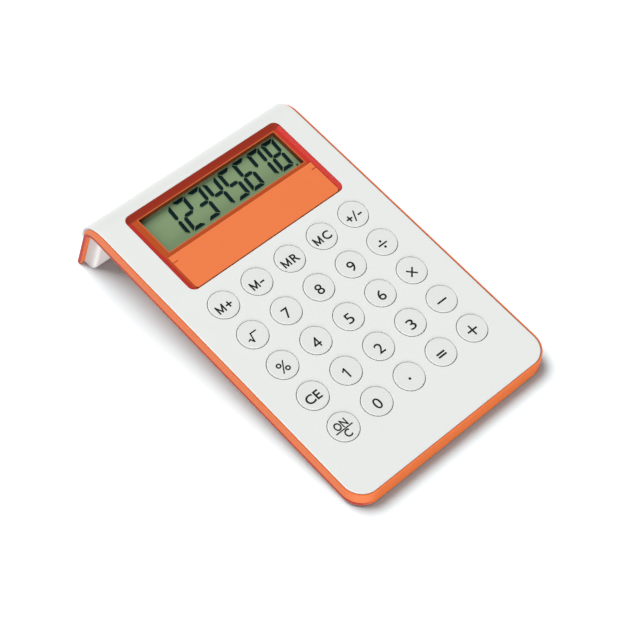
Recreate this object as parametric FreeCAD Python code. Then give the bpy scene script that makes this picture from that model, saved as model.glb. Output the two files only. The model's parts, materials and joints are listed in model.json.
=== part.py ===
import FreeCAD, Part
import math
import os

# Desk calculator: a thin sloping key plate on a folded leg, with 25 round keys and a display.
#
# Pieces are drawn in the plate frame: x to the right, y to the rear along the plate, z out of it,
# with the origin at the middle of the key grid on the white top face. place() then tilts them.

# Overall form
WIDTH = 100.0                # across the orange frame
TILT = 9.33                  # slope of the plate, degrees
FRONT_MARGIN = 20.25         # front keys to the frame's top front edge
CORNER_R = 9.0               # front corners of the frame, seen from above
REVEAL = 0.72                # width of orange that shows round the white cover
SEAM = 0.1                   # gap at a parting line

# Plate, from the top down
COVER_WALL = 1.4
RIM_STEP = 0.2               # the orange rim lies this far below the white face
FRAME_DEPTH = 4.8            # white face to the frame's lower edge
FRAME_WALL = 2.0
BASE_WALL = 2.0
BASE_INSET = 0.1             # the base stops this far inside the frame's outline
BOARD_WALL = 0.8
MAT_WALL = 1.1
COVER_EDGE_R = 0.45
BASE_EDGE_R = 0.5
BASE_TOP_R = 0.35            # base's upper edge, along the parting line and down the leg

# Fold and leg
LEG_BEHIND = 7.1             # display aperture to where the leg's back face meets the white face
LEG_LEAN = 8.7               # lean of the leg from the plate's normal, degrees
LEG_WALL = 1.6
LEG_LIFT = 0.25              # leg end above the table
COVER_LEG_WALL = 1.6
COVER_OUTER_R = 12.0
COVER_HANG = 0.5             # cover's lower edge below the end of its bend
COVER_BEND_IN = 2.2          # each bend's radius is this much less than the cover's outer one
RIM_BEND_IN = 1.0
FRAME_BEND_IN = 4.0
BASE_BEND_IN = 6.4
WIRE_BEND_IN = 7.0
FRAME_HANG = 3.8             # frame's tapered tail below its lower edge
FOLD_AHEAD = 7.1             # the flat layers end this far ahead of the aperture's rear edge
FOLD_LAP = 6.0               # the fold's section starts this far ahead of there

# Keys
KEY_D = 11.8
KEY_SIDE = 10.9              # outer keys to the frame's sides
ROW_PITCH = 16.35
KEY_GAP = 0.25               # key to its hole, each side
KEY_PROUD = 0.35
KEY_EDGE_R = 0.3
HOLE_EDGE_R = 0.25
KEY_FLANGE = 0.8             # flange beyond the key
KEY_FLANGE_WALL = 0.6
KEY_TRAVEL = 0.7
KEY_STOP_GAP = 0.2           # pressed key to the mat
DOME_FOOT_D = 7.0
DOME_TOP_D = 4.2
DOME_GAP = 0.05
KEY_ROWS = (
    ("m_plus", "m_minus", "mr", "mc", "sign"),
    ("root", "7", "8", "9", "divide"),
    ("percent", "4", "5", "6", "multiply"),
    ("ce", "1", "2", "3", "minus"),
    ("on_c", "0", "point", "equals", "plus"),
)

# Display
DISPLAY_SHIFT = 0.5          # display's middle to the right of the plate's
APERTURE_SIDE = 11.0         # half of the plate's width that the aperture leaves
APERTURE_AHEAD = 5.25        # rear keys to the aperture
APERTURE_DEPTH = 41.25
APERTURE_R = 3.0
REAR_CLEAR = 0.5             # aperture to the frame's rear wall
BEZEL_GAP = 0.15
BEZEL_SINK = 0.05            # bezel's outer edge below the white face
BEZEL_LAND = 0.3             # flat edge outside the slope
BEZEL_SLOPE_W = 1.5
BEZEL_SLOPE_DROP = 0.5
BEZEL_FLANGE = 1.8
BEZEL_FLANGE_WALL = 0.6
BEZEL_LIFT = 0.1             # window's walls above the display film
BEZEL_FRONT_LIP = 0.35       # bezel in front of the panel
WINDOW_SIDE = 4.5            # window to the aperture's sides, on average
WINDOW_SHIFT = 0.4           # window's middle to the right of the display's
WINDOW_BEHIND = 2.0          # panel to the window
WINDOW_MARGIN = 3.6          # window to the aperture's rear edge
WINDOW_R = 0.4
WINDOW_LAND = 0.5            # flat edge round the window
WINDOW_DROP = 0.1            # that edge below the ledge round it
LEDGE_EDGE = 0.1             # flat between the bezel's two slopes
STRIP_EDGE = 0.5             # flat between the panel and the slope to the window
PANEL_SIDE = 2.6             # panel to the aperture's sides
PANEL_DEPTH = 17.35          # aperture's front edge to the panel's rear edge
PANEL_GAP = 0.1
PANEL_WALL = 1.0
PANEL_SINK = 0.1
PANEL_R = 1.2
PANEL_FLOOR = 0.5            # bezel under the panel
NOTCH_L = 2.2
NOTCH_W = 0.4
NOTCH_DEEP = 0.4
NOTCH_BACK = 3.0             # notch behind the panel's rear edge
GLASS_WALL = 0.55
FRONT_GLASS_WALL = 0.55
FILM_WALL = 0.2
GLASS_MARGIN = 1.7           # glass beyond the window
GLASS_LEDGE = 2.8            # rear glass beyond the front glass, at the front
RIBBON_W = 40.0
RIBBON_WALL = 0.12
RIBBON_LAP = 2.3

# Circuit board and what is on it
BOARD_MARGIN = 1.5           # board to the frame's inner walls
BOARD_GLASS_GAP = 0.4
BOARD_R = 6.0
MAT_MARGIN = 2.1             # mat beyond the outermost key flanges
CHIP_D = 9.0
CHIP_RISE = 0.9
CHIP_X = -14.0
CHIP_BEHIND_KEYS = 11.6      # chip centre behind the rearmost key flange
CHIPLET_L = 2.0
CHIPLET_W = 1.25
CHIPLET_H = 0.6
CHIPLET_COUNT = 6
CHIPLET_PITCH = 4.0
CHIPLET_X = -4.0

# Screws, bosses and feet
SCREW_D = 1.6
SCREW_HEAD_D = 3.2
SCREW_HEAD_H = 0.8
SCREW_L = 3.4
CROSS_L = 2.0                # cross recess in a screw's head
CROSS_W = 0.4
CROSS_DEEP = 0.45
BOSS_D = 4.4
BOSS_CLEAR = 0.4             # boss to the board and mat round it
PILOT_CLEAR = 0.05
PILOT_EXTRA = 0.3
SIDE_BOSS_INSET = 3.0        # side boss centre to the frame's inner wall
FOOT_L = 14.0
FOOT_W = 7.0
FOOT_R = 2.0
FOOT_SINK = 0.4
FOOT_GAP = 0.1
FOOT_INSET = 14.0            # foot centre to the frame's side
FOOT_BACK = 9.0              # foot centre behind the frame's front edge
FRONT_LIFT = 0.3             # base's front edge above the table
REAR_FOOT_L = 12.0
REAR_FOOT_W = 2.4

# Leg housing, cell and its door
HOUSING_INSET = 2.4          # housing's end to the frame's side
HOUSING_DEPTH = 5.4
HOUSING_WALL = 1.2
HOUSING_END_WALL = 1.5
HOUSING_R = 1.8
HOUSING_LIFT = 0.35
HOUSING_SCREW_INSET = 12.0   # screw to the housing's end
HOUSING_SCREW_DROP = 7.0     # screw below the cell's centre
CELL_INSET = 22.6            # cell centre to the housing's end
CELL_D = 11.6
CELL_H = 3.05
CELL_CAP_D = 9.6
CELL_CAP_H = 0.45
CELL_EDGE_R = 0.4
CUP_GAP = 0.2
CUP_WALL = 1.0
CUP_H = 3.0
CONTACT_WALL = 0.25
CONTACT_W = 3.0
CONTACT_GAP = 0.05
LEAF_H = 2.4
NOTCH_CLEAR = 0.4            # contact strip to the sides of its notch in the cup
LEAF_TURN = 45.0             # positive contact's place round the cell, degrees from straight up
DOOR_D = 14.8
DOOR_GAP = 0.2
DOOR_NECK = 0.3              # neck is this much smaller in radius than the door
DOOR_LUG_GAP = 0.1
DOOR_LUG_WALL = 0.5
DOOR_LUG_REACH = 1.2
DOOR_LUG_W = 4.0
DOOR_TURN = 40.0             # lock to release, degrees
COIN_SLOT_L = 9.0
COIN_SLOT_W = 1.6
COIN_SLOT_DEEP = 0.6
COIN_SLOT_R = 0.7

# Battery leads
WIRE_D = 1.0
WIRE_CLEAR = 0.2             # first lead to the bezel; the second lies one pitch further out
WIRE_PITCH = 1.2
WIRE_GAP = 0.05
WIRE_ON_BOARD = 8.0          # lead's length over the board
WIRE_SLOT_CLEAR = 0.4

# Levels in the plate frame
COVER_BACK = -COVER_WALL
FRAME_BACK = -FRAME_DEPTH
FLOOR = FRAME_BACK - SEAM
PLATE_BACK = FLOOR - BASE_WALL
BOARD_TOP = FLOOR + BOARD_WALL
MAT_TOP = BOARD_TOP + MAT_WALL
FILM_TOP = BOARD_TOP + FRONT_GLASS_WALL + FILM_WALL
BEZEL_FOOT = FILM_TOP + BEZEL_LIFT
KEY_BOTTOM = MAT_TOP + KEY_STOP_GAP + KEY_TRAVEL
KEY_FLANGE_TOP = KEY_BOTTOM + KEY_FLANGE_WALL

# Bends of the fold
COVER_TAIL = COVER_OUTER_R + COVER_HANG
COVER_INNER_R = COVER_OUTER_R - COVER_BEND_IN
RIM_FOLD_R = COVER_OUTER_R - RIM_BEND_IN
FRAME_FOLD_R = COVER_OUTER_R - FRAME_BEND_IN
BASE_INNER_R = COVER_OUTER_R - BASE_BEND_IN
WIRE_BEND_R = COVER_OUTER_R - WIRE_BEND_IN
FRAME_TAIL = FRAME_DEPTH + FRAME_HANG

# Lengths along the plate, from the middle of the key grid
KEY_EDGE_Y = (len(KEY_ROWS) - 1) / 2 * ROW_PITCH + KEY_D / 2
FRONT_REACH = KEY_EDGE_Y + FRONT_MARGIN
APERTURE_FRONT = KEY_EDGE_Y + APERTURE_AHEAD
APERTURE_REAR = APERTURE_FRONT + APERTURE_DEPTH
PANEL_REAR = APERTURE_FRONT + PANEL_DEPTH
WINDOW_FRONT = PANEL_REAR + WINDOW_BEHIND
WINDOW_REAR = APERTURE_REAR - WINDOW_MARGIN
SIDE_BOSS_Y = (WINDOW_FRONT + WINDOW_REAR) / 2
FOLD_START = APERTURE_REAR - FOLD_AHEAD
LEG_LINE = APERTURE_REAR + LEG_BEHIND

# Lengths across the plate
COLUMN_PITCH = (WIDTH - 2 * KEY_SIDE - KEY_D) / (len(KEY_ROWS[0]) - 1)
KEY_FLANGE_D = KEY_D + 2 * KEY_FLANGE
APERTURE_W = WIDTH - 2 * APERTURE_SIDE
WINDOW_W = APERTURE_W - 2 * WINDOW_SIDE
PANEL_W = APERTURE_W - 2 * PANEL_SIDE
HOUSING_W = WIDTH - 2 * HOUSING_INSET
FOOT_X = WIDTH / 2 - FOOT_INSET
CELL_X = HOUSING_W / 2 - CELL_INSET
WIRE_X = DISPLAY_SHIFT + APERTURE_W / 2 - BEZEL_GAP + WIRE_CLEAR + WIRE_D / 2

# Half-widths, outlines and slopes
HALF = WIDTH / 2
COVER_HALF = HALF - REVEAL
INNER_HALF = HALF - FRAME_WALL
SLOPE = math.tan(math.radians(TILT))
SIN_TILT = math.sin(math.radians(TILT))
COS_TILT = math.cos(math.radians(TILT))
SIN_LEAN = math.sin(math.radians(LEG_LEAN))
COS_LEAN = math.cos(math.radians(LEG_LEAN))
REAR_WALL = APERTURE_REAR + REAR_CLEAR
FAR = 200.0                  # reach of a cutting block, past every piece
ORIGIN = FreeCAD.Vector(0, 0, 0)
X_AXIS = FreeCAD.Vector(1, 0, 0)
Z_AXIS = FreeCAD.Vector(0, 0, 1)
DISPLAY_MIDDLE = FreeCAD.Vector(DISPLAY_SHIFT, 0, 0)

# The table, as a height in the upright frame whose origin is the key grid's centre
BASE_FRONT_Y = -FRONT_REACH + BASE_INSET + PLATE_BACK * SLOPE
TABLE = BASE_FRONT_Y * SIN_TILT + PLATE_BACK * COS_TILT - FRONT_LIFT
LEG_END = (
    LEG_LINE * SIN_TILT
    - LEG_WALL * math.sin(math.radians(LEG_LEAN + TILT))
    - TABLE
    - LEG_LIFT
) / math.cos(math.radians(LEG_LEAN + TILT))
CELL_DOWN = 0.5 * (LEG_END - PLATE_BACK)


def upright(y, z):
    """Point of the plate's section given by its level position in the upright frame."""
    return (y * COS_TILT + z * SIN_TILT, -y * SIN_TILT + z * COS_TILT)


def leg_point(inside, down):
    """Point so far inside the leg's back face and so far down the leg from the white face."""
    y = LEG_LINE + SIN_LEAN * down - COS_LEAN * inside
    z = -COS_LEAN * down - SIN_LEAN * inside
    return (y, z)


def fold_arc(level, inside, radius):
    """Start, middle and end of the arc from a plate level to a line inside the leg's back face."""
    z = level - radius
    y = LEG_LINE - (inside + radius + SIN_LEAN * z) / COS_LEAN
    half_turn = math.radians(90 - LEG_LEAN) / 2
    middle = (y + radius * math.sin(half_turn), z + radius * math.cos(half_turn))
    end = (y + radius * COS_LEAN, z + radius * SIN_LEAN)
    return (y, level), middle, end


def section(steps, half, centre_x=0.0):
    """Solid of a closed y-z outline over a width in x. A step is a point, or an arc's two points."""
    def at(point):
        return FreeCAD.Vector(centre_x - half, point[0], point[1])

    edges = []
    here = steps[0]
    for step in list(steps[1:]) + [steps[0]]:
        if isinstance(step[0], tuple):
            edges.append(Part.Arc(at(here), at(step[0]), at(step[1])).toShape())
            here = step[1]
        else:
            edges.append(Part.makeLine(at(here), at(step)))
            here = step
    return Part.Face(Part.Wire(edges)).extrude(FreeCAD.Vector(2 * half, 0, 0))


def rounded_wire(left, right, front, rear, z, radii):
    """Rectangle at height z with its front-left, front-right, rear-right and rear-left radii."""
    corners = [(left, front, 1, 0), (right, front, 0, 1), (right, rear, -1, 0), (left, rear, 0, -1)]
    edges = []
    ends = []
    for (x, y, ahead_x, ahead_y), radius in zip(corners, radii):
        back_x, back_y = -ahead_y, ahead_x
        start = FreeCAD.Vector(x + back_x * radius, y + back_y * radius, z)
        finish = FreeCAD.Vector(x + ahead_x * radius, y + ahead_y * radius, z)
        inset = radius * (1 - math.sqrt(0.5))
        middle = FreeCAD.Vector(x + (back_x + ahead_x) * inset, y + (back_y + ahead_y) * inset, z)
        ends.append((start, middle, finish, radius))
    for index, (start, middle, finish, radius) in enumerate(ends):
        if radius > 0:
            edges.append(Part.Arc(start, middle, finish).toShape())
        edges.append(Part.makeLine(finish, ends[(index + 1) % 4][0]))
    return Part.Wire(edges)


def block(left, right, front, rear, bottom, top, radius=0.0):
    """Upright block with equal corner radii."""
    face = Part.Face(rounded_wire(left, right, front, rear, bottom, [radius] * 4))
    return face.extrude(FreeCAD.Vector(0, 0, top - bottom))


def slab(inset, top, bottom, rear=FOLD_START):
    """Layer of the plate inside the frame's outline, its front wall upright on the table."""
    half = HALF - inset
    front = -FRONT_REACH + inset + top * SLOPE
    radius = CORNER_R - inset
    wire = rounded_wire(-half, half, front, rear, top, [radius, radius, 0, 0])
    return Part.Face(wire).extrude(FreeCAD.Vector(0, (bottom - top) * SLOPE, bottom - top))


def rod(diameter, bottom, top, x=0.0, y=0.0):
    return Part.makeCylinder(diameter / 2, top - bottom, FreeCAD.Vector(x, y, bottom))


def on_leg(shape, x, down):
    """Put a shape drawn on the leg's inner face, y up the leg and z to the front, in its place."""
    y, z = leg_point(LEG_WALL, down)
    turned = shape.rotated(ORIGIN, X_AXIS, 90 + LEG_LEAN)
    return turned.translated(FreeCAD.Vector(x, y, z))


def above_table(lift):
    """Everything above a height over the table."""
    low = TABLE + lift
    return section(
        [upright(-FAR, low), upright(FAR, low), upright(FAR, FAR), upright(-FAR, FAR)], FAR
    )


def rounded_edges(solid, radius, keep):
    """Fillet the edges whose two ends and middle all pass the test."""
    chosen = []
    for edge in solid.Edges:
        first, last = edge.ParameterRange
        points = [edge.valueAt(first), edge.valueAt((first + last) / 2), edge.valueAt(last)]
        if keep(points):
            chosen.append(edge)
    return solid.makeFillet(radius, chosen)


def key_places():
    """Node name and grid position of every key."""
    places = []
    for row, names in enumerate(KEY_ROWS):
        y = ((len(KEY_ROWS) - 1) / 2 - row) * ROW_PITCH
        for column, name in enumerate(names):
            x = (column - (len(names) - 1) / 2) * COLUMN_PITCH
            places.append(("key_" + name, x, y))
    return places


KEY_PLACES = key_places()
KEY_REACH_X = max(x for _, x, _ in KEY_PLACES) + KEY_FLANGE_D / 2
KEY_REACH_Y = max(y for _, _, y in KEY_PLACES) + KEY_FLANGE_D / 2


def boss_places():
    """Screw bosses: four between the keys and one at each side of the display."""
    inner_x = 1.5 * COLUMN_PITCH
    inner_y = 1.5 * ROW_PITCH
    places = [(sx * inner_x, sy * inner_y) for sx in (-1, 1) for sy in (-1, 1)]
    side_x = INNER_HALF - SIDE_BOSS_INSET
    return places, [(-side_x, SIDE_BOSS_Y), (side_x, SIDE_BOSS_Y)]


def boss_holes(bottom, top):
    """Clearance round the bosses that pass through the board and the mat."""
    inner, _ = boss_places()
    return Part.makeCompound([rod(BOSS_D + 2 * BOSS_CLEAR, bottom, top, x, y) for x, y in inner])


def screw():
    """Countersunk screw, head face at z = 0 and pointing up."""
    head = Part.makeCone(SCREW_HEAD_D / 2, SCREW_D / 2, SCREW_HEAD_H)
    solid = head.fuse(rod(SCREW_D, SCREW_HEAD_H, SCREW_L)).removeSplitter()
    arm = block(-CROSS_L / 2, CROSS_L / 2, -CROSS_W / 2, CROSS_W / 2, -1, CROSS_DEEP)
    return solid.cut([arm, arm.rotated(ORIGIN, Z_AXIS, 90)])


def screw_hole(depth):
    """Clearance for a screw's head and shank through a wall."""
    clear = 2 * PILOT_CLEAR
    head = Part.makeCone(
        SCREW_HEAD_D / 2 + PILOT_CLEAR, SCREW_D / 2 + PILOT_CLEAR, SCREW_HEAD_H + PILOT_CLEAR
    )
    return head.fuse(rod(SCREW_D + clear, 0, depth))


def pilot(bottom):
    """Screw hole in a boss that starts at the given height above the screw's head face."""
    return rod(SCREW_D + 2 * PILOT_CLEAR, bottom, SCREW_L + PILOT_EXTRA)


def wire_slot(front):
    """Passage for the two leads through the fold, from a line in the plate to the leg."""
    left = WIRE_X - WIRE_D / 2 - WIRE_SLOT_CLEAR
    right = WIRE_X + WIRE_PITCH + WIRE_D / 2 + WIRE_SLOT_CLEAR
    _, _, (end_y, end_z) = fold_arc(PLATE_BACK, LEG_WALL, BASE_INNER_R)
    rear = end_y + WIRE_SLOT_CLEAR
    return block(left, right, front, rear, end_z, COVER_BACK - WIRE_SLOT_CLEAR)


def aperture(clear, bottom, top):
    """Block of the display aperture's outline, about the display's middle."""
    half = APERTURE_W / 2 - clear
    return block(
        -half, half, APERTURE_FRONT + clear, APERTURE_REAR - clear, bottom, top, APERTURE_R - clear
    )


def top_cover():
    """White moulding: key plate, display aperture and the skin over the fold."""
    outer = fold_arc(0.0, -COVER_LEG_WALL, COVER_OUTER_R)
    inner = fold_arc(COVER_BACK, -SEAM, COVER_INNER_R)
    down = COVER_TAIL / COS_LEAN
    tail_out = leg_point(-COVER_LEG_WALL, down)
    start = FOLD_START - FOLD_LAP
    fold = section(
        [
            (start, COVER_BACK),
            (start, 0.0),
            outer[0],
            (outer[1], outer[2]),
            tail_out,
            leg_point(-SEAM, down),
            inner[2],
            (inner[1], inner[0]),
        ],
        COVER_HALF,
    )
    skin = slab(REVEAL, 0.0, COVER_BACK).fuse(fold).removeSplitter()

    def on_outer_border(points):
        for p in points:
            at_side = abs(abs(p.x) - COVER_HALF) < 1e-4
            at_corner = p.y < -FRONT_REACH + CORNER_R + 1e-4
            on_plate = abs(p.z) < 1e-4
            beyond = p.y > outer[0][0] - 1e-4
            off_arc = math.hypot(p.y - outer[0][0], p.z + COVER_OUTER_R) - COVER_OUTER_R
            off_leg = (p.y - LEG_LINE) * COS_LEAN + p.z * SIN_LEAN - COVER_LEG_WALL
            on_fold = beyond and (abs(off_arc) < 1e-4 or abs(off_leg) < 1e-4)
            if not (at_side and (on_plate or on_fold) or at_corner and on_plate):
                return False
        return points[0].y != points[2].y or points[0].z == 0.0

    skin = rounded_edges(skin, COVER_EDGE_R, on_outer_border)
    inner_bosses, side_bosses = boss_places()
    for x, y in inner_bosses + side_bosses:
        skin = skin.fuse(rod(BOSS_D, FLOOR, COVER_BACK, x, y))
    skin = skin.removeSplitter()
    cuts = [aperture(0.0, -FAR, FAR).translated(DISPLAY_MIDDLE)]
    for _, x, y in KEY_PLACES:
        cuts.append(rod(KEY_D + 2 * KEY_GAP, COVER_BACK - 1, 1, x, y))
    for x, y in inner_bosses + side_bosses:
        cuts.append(pilot(BASE_WALL).translated(FreeCAD.Vector(x, y, PLATE_BACK)))

    def on_key_hole(points):
        radius = KEY_D / 2 + KEY_GAP
        for p in points:
            nearest = min(math.hypot(p.x - x, p.y - y) for _, x, y in KEY_PLACES)
            if abs(p.z) > 1e-4 or abs(nearest - radius) > 1e-4:
                return False
        return True

    return rounded_edges(skin.cut(cuts), HOLE_EDGE_R, on_key_hole)


def side_frame():
    """Orange ring between the covers, tapering to nothing round the fold."""
    rim = fold_arc(-RIM_STEP, 0.0, RIM_FOLD_R)
    back = fold_arc(FRAME_BACK, 0.0, FRAME_FOLD_R)
    start = FOLD_START - FOLD_LAP
    fold = section(
        [
            (start, FRAME_BACK),
            (start, -RIM_STEP),
            rim[0],
            (rim[1], rim[2]),
            back[2],
            (back[1], back[0]),
        ],
        HALF,
    )
    ring = slab(0.0, -RIM_STEP, FRAME_BACK).fuse(fold).removeSplitter()
    seat_arc = fold_arc(COVER_BACK - SEAM, 0.0, COVER_INNER_R)
    low, high = COVER_BACK - SEAM, COVER_OUTER_R
    seat = section(
        [
            (start, low),
            (start, high),
            (FAR, high),
            (FAR, seat_arc[2][1]),
            seat_arc[2],
            (seat_arc[1], seat_arc[0]),
        ],
        COVER_HALF + SEAM,
    )
    inner = slab(FRAME_WALL, 1.0, PLATE_BACK, REAR_WALL)
    trim = block(-FAR, FAR, REAR_WALL, FAR, -FAR, FAR)
    tail = block(-FAR, FAR, FOLD_START, FAR, -FAR, -FRAME_TAIL)
    cuts = [slab(REVEAL - SEAM, 1.0, low), seat, inner.cut(trim), tail, wire_slot(FOLD_START)]
    inner_rear = block(-INNER_HALF, INNER_HALF, FOLD_START - 1, REAR_WALL, PLATE_BACK, 1.0)
    return ring.cut(cuts + [inner_rear])


def cup():
    """Ring for the cell on the leg's inner face, notched for the contacts."""
    outside = CELL_D + 2 * (CUP_GAP + CUP_WALL)
    ring = rod(outside, 0, CUP_H).cut(rod(CELL_D + 2 * CUP_GAP, -1, CUP_H + 1))
    half = CONTACT_W / 2 + NOTCH_CLEAR
    side_notch = block(0, outside, -half, half, -1, CUP_H + 1)
    leaf_notch = block(-half, half, 0, outside, -1, CUP_H + 1).rotated(ORIGIN, Z_AXIS, -LEAF_TURN)
    return ring.cut([side_notch, leaf_notch])


def housing_screw_places():
    """One near each end of the housing, below the cell: its place across, and down the leg."""
    across = HOUSING_W / 2 - HOUSING_SCREW_INSET
    down = CELL_DOWN + HOUSING_SCREW_DROP
    return [(-across, down), (across, down)]


def bottom_cover():
    """Orange base that runs under the plate and folds down into the leg."""
    outer = fold_arc(FLOOR, 0.0, FRAME_FOLD_R)
    inner = fold_arc(PLATE_BACK, LEG_WALL, BASE_INNER_R)
    start = FOLD_START - FOLD_LAP
    half = HALF - BASE_INSET
    fold = section(
        [
            (start, PLATE_BACK),
            (start, FLOOR),
            outer[0],
            (outer[1], outer[2]),
            leg_point(0.0, LEG_END),
            leg_point(LEG_WALL, LEG_END),
            inner[2],
            (inner[1], inner[0]),
        ],
        half,
    )
    base = slab(BASE_INSET, FLOOR, PLATE_BACK).fuse(fold).removeSplitter()

    def on_lower_border(points):
        for p in points:
            at_edge = abs(abs(p.x) - half) < 1e-4 or p.y < BASE_FRONT_Y + CORNER_R
            if not at_edge or abs(p.z - PLATE_BACK) > 1e-4:
                return False
        return True

    def on_upper_border(points):
        for p in points:
            at_edge = abs(abs(p.x) - half) < 1e-4 or p.y < BASE_FRONT_Y + CORNER_R
            off_arc = math.hypot(p.y - outer[0][0], p.z - FLOOR + FRAME_FOLD_R) - FRAME_FOLD_R
            off_leg = (p.y - LEG_LINE) * COS_LEAN + p.z * SIN_LEAN
            on_fold = p.y > outer[0][0] - 1e-4 and (abs(off_arc) < 1e-4 or abs(off_leg) < 1e-4)
            if not at_edge or not (abs(p.z - FLOOR) < 1e-4 or on_fold):
                return False
        return True

    base = rounded_edges(base, BASE_EDGE_R, on_lower_border)
    base = rounded_edges(base, BASE_TOP_R, on_upper_border)
    boss_top = HOUSING_DEPTH - HOUSING_WALL - SEAM / 2
    adds = [on_leg(cup(), CELL_X, CELL_DOWN)]
    inside_housing = LEG_WALL + HOUSING_DEPTH - HOUSING_WALL
    cuts = [wire_slot(leg_point(inside_housing, -PLATE_BACK / COS_LEAN)[0])]
    head = HOUSING_DEPTH - SCREW_L - PILOT_EXTRA
    for x, down in housing_screw_places():
        adds.append(on_leg(rod(BOSS_D, 0, boss_top), x, down))
        cuts.append(on_leg(rod(SCREW_D + 2 * PILOT_CLEAR, head, HOUSING_DEPTH), x, down))
    inner_bosses, side_bosses = boss_places()
    for x, y in inner_bosses + side_bosses:
        hole = screw_hole(BASE_WALL + 1)
        cuts.append(hole.translated(FreeCAD.Vector(x, y, PLATE_BACK)))
    for x in (-FOOT_X, FOOT_X):
        cuts.append(foot_block(x, FOOT_GAP, PLATE_BACK - 1))
    return base.fuse(adds).removeSplitter().cut(cuts)


def foot_block(x, clear, bottom):
    """Rounded block at a front foot's place, up to the roof of its recess."""
    y = -FRONT_REACH + FOOT_BACK
    half_l = FOOT_L / 2 + clear
    half_w = FOOT_W / 2 + clear
    roof = PLATE_BACK + FOOT_SINK
    return block(x - half_l, x + half_l, y - half_w, y + half_w, bottom, roof, FOOT_R + clear)


def front_feet():
    """Two rubber wedges that level the plate's slope to the table."""
    pads = [foot_block(x, 0.0, PLATE_BACK - FOOT_BACK) for x in (-FOOT_X, FOOT_X)]
    table = above_table(0.0)
    return Part.makeCompound([pad.common(table) for pad in pads])


def housing_middle():
    """Level distance to the middle of the housing's lower end."""
    front_y, front_z = leg_point(LEG_WALL + HOUSING_DEPTH, LEG_END)
    rear_y, rear_z = leg_point(LEG_WALL, LEG_END)
    y = (front_y + rear_y) / 2
    z = (front_z + rear_z) / 2
    return y * COS_TILT - z * SIN_TILT


def rear_foot_block(x, clear, low, high):
    """Bar across the housing's lower end, between two heights over the table."""
    middle = housing_middle()
    near = middle - REAR_FOOT_W / 2 - clear
    far = middle + REAR_FOOT_W / 2 + clear
    corners = [(near, low), (far, low), (far, high), (near, high)]
    steps = [upright(y, TABLE + z) for y, z in corners]
    return section(steps, REAR_FOOT_L / 2 + clear, x)


def rear_feet():
    roof = HOUSING_LIFT + FOOT_SINK
    return Part.makeCompound([rear_foot_block(x, 0.0, 0.0, roof) for x in (-FOOT_X, FOOT_X)])


def leg_housing():
    """White box on the leg's inner face, open to the leg and to the fold."""
    long = 2 * LEG_END
    front = LEG_WALL + HOUSING_DEPTH
    half = HOUSING_W / 2
    corners = [(front, -long), (front, long), (LEG_WALL + SEAM / 2, long), (LEG_WALL + SEAM / 2, -long)]
    solid = section([leg_point(inside, down) for inside, down in corners], half)
    roof = fold_arc(PLATE_BACK - SEAM, LEG_WALL + SEAM / 2, BASE_INNER_R - SEAM)
    under = section(
        [
            (0.0, PLATE_BACK - SEAM),
            roof[0],
            (roof[1], roof[2]),
            leg_point(LEG_WALL + SEAM / 2, long),
            (0.0, -long),
        ],
        HALF,
    )
    solid = solid.common(under).common(above_table(HOUSING_LIFT))

    def on_front_corner(points):
        for p in points:
            inside = (LEG_LINE - p.y) * COS_LEAN - p.z * SIN_LEAN
            if abs(abs(p.x) - half) > 1e-4 or abs(inside - front) > 1e-4:
                return False
        return True

    solid = rounded_edges(solid, HOUSING_R, on_front_corner)
    hollow = section(
        [leg_point(inside, down) for inside, down in (
            (front - HOUSING_WALL, -long),
            (front - HOUSING_WALL, long),
            (0.0, long),
            (0.0, -long),
        )],
        half - HOUSING_END_WALL,
    ).common(above_table(HOUSING_LIFT + HOUSING_WALL))
    bore = rod(DOOR_D + 2 * DOOR_GAP, HOUSING_DEPTH - 2 * HOUSING_WALL, HOUSING_DEPTH + 1)
    lug_way = lug_bar(DOOR_LUG_GAP, 0, HOUSING_DEPTH + 1).rotated(ORIGIN, Z_AXIS, DOOR_TURN)
    cuts = [hollow, on_leg(bore, CELL_X, CELL_DOWN), on_leg(lug_way, CELL_X, CELL_DOWN)]
    for x, down in housing_screw_places():
        turned = screw_hole(HOUSING_WALL + 1).rotated(ORIGIN, X_AXIS, 180)
        head = turned.translated(FreeCAD.Vector(0, 0, HOUSING_DEPTH))
        cuts.append(on_leg(head, x, down))
    for x in (-FOOT_X, FOOT_X):
        cuts.append(rear_foot_block(x, FOOT_GAP, 0.0, HOUSING_LIFT + FOOT_SINK))
    return solid.cut(cuts)


def lug_bar(clear, bottom, top):
    """The door's two lugs as one bar across it."""
    reach = DOOR_D / 2 + DOOR_LUG_REACH + clear
    half = DOOR_LUG_W / 2 + clear
    bar = block(-reach, reach, -half, half, bottom, top)
    return bar.common(rod(2 * reach, bottom, top))


def cell_door():
    """Round door with a coin slot, held by two lugs behind the housing's wall."""
    wall_back = HOUSING_DEPTH - HOUSING_WALL
    lug_top = wall_back - DOOR_LUG_GAP
    lug_bottom = lug_top - DOOR_LUG_WALL
    disc = rod(DOOR_D, wall_back, HOUSING_DEPTH)
    neck = rod(DOOR_D - 2 * DOOR_NECK, lug_bottom, wall_back)
    door = disc.fuse([neck, lug_bar(0.0, lug_bottom, lug_top)]).removeSplitter()
    slot = block(
        -COIN_SLOT_L / 2,
        COIN_SLOT_L / 2,
        -COIN_SLOT_W / 2,
        COIN_SLOT_W / 2,
        HOUSING_DEPTH - COIN_SLOT_DEEP,
        HOUSING_DEPTH + 1,
        COIN_SLOT_R,
    )
    return on_leg(door.cut(slot), CELL_X, CELL_DOWN)


def button_cell():
    """Button cell, its cap on the contact strip."""
    can_bottom = CONTACT_WALL + CELL_CAP_H
    can = rod(CELL_D, can_bottom, CONTACT_WALL + CELL_H)
    can = can.makeFillet(CELL_EDGE_R, [e for e in can.Edges if len(e.Vertexes) == 1])
    cell = can.fuse(rod(CELL_CAP_D, CONTACT_WALL, can_bottom + CELL_EDGE_R)).removeSplitter()
    return on_leg(cell, CELL_X, CELL_DOWN)


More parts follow.
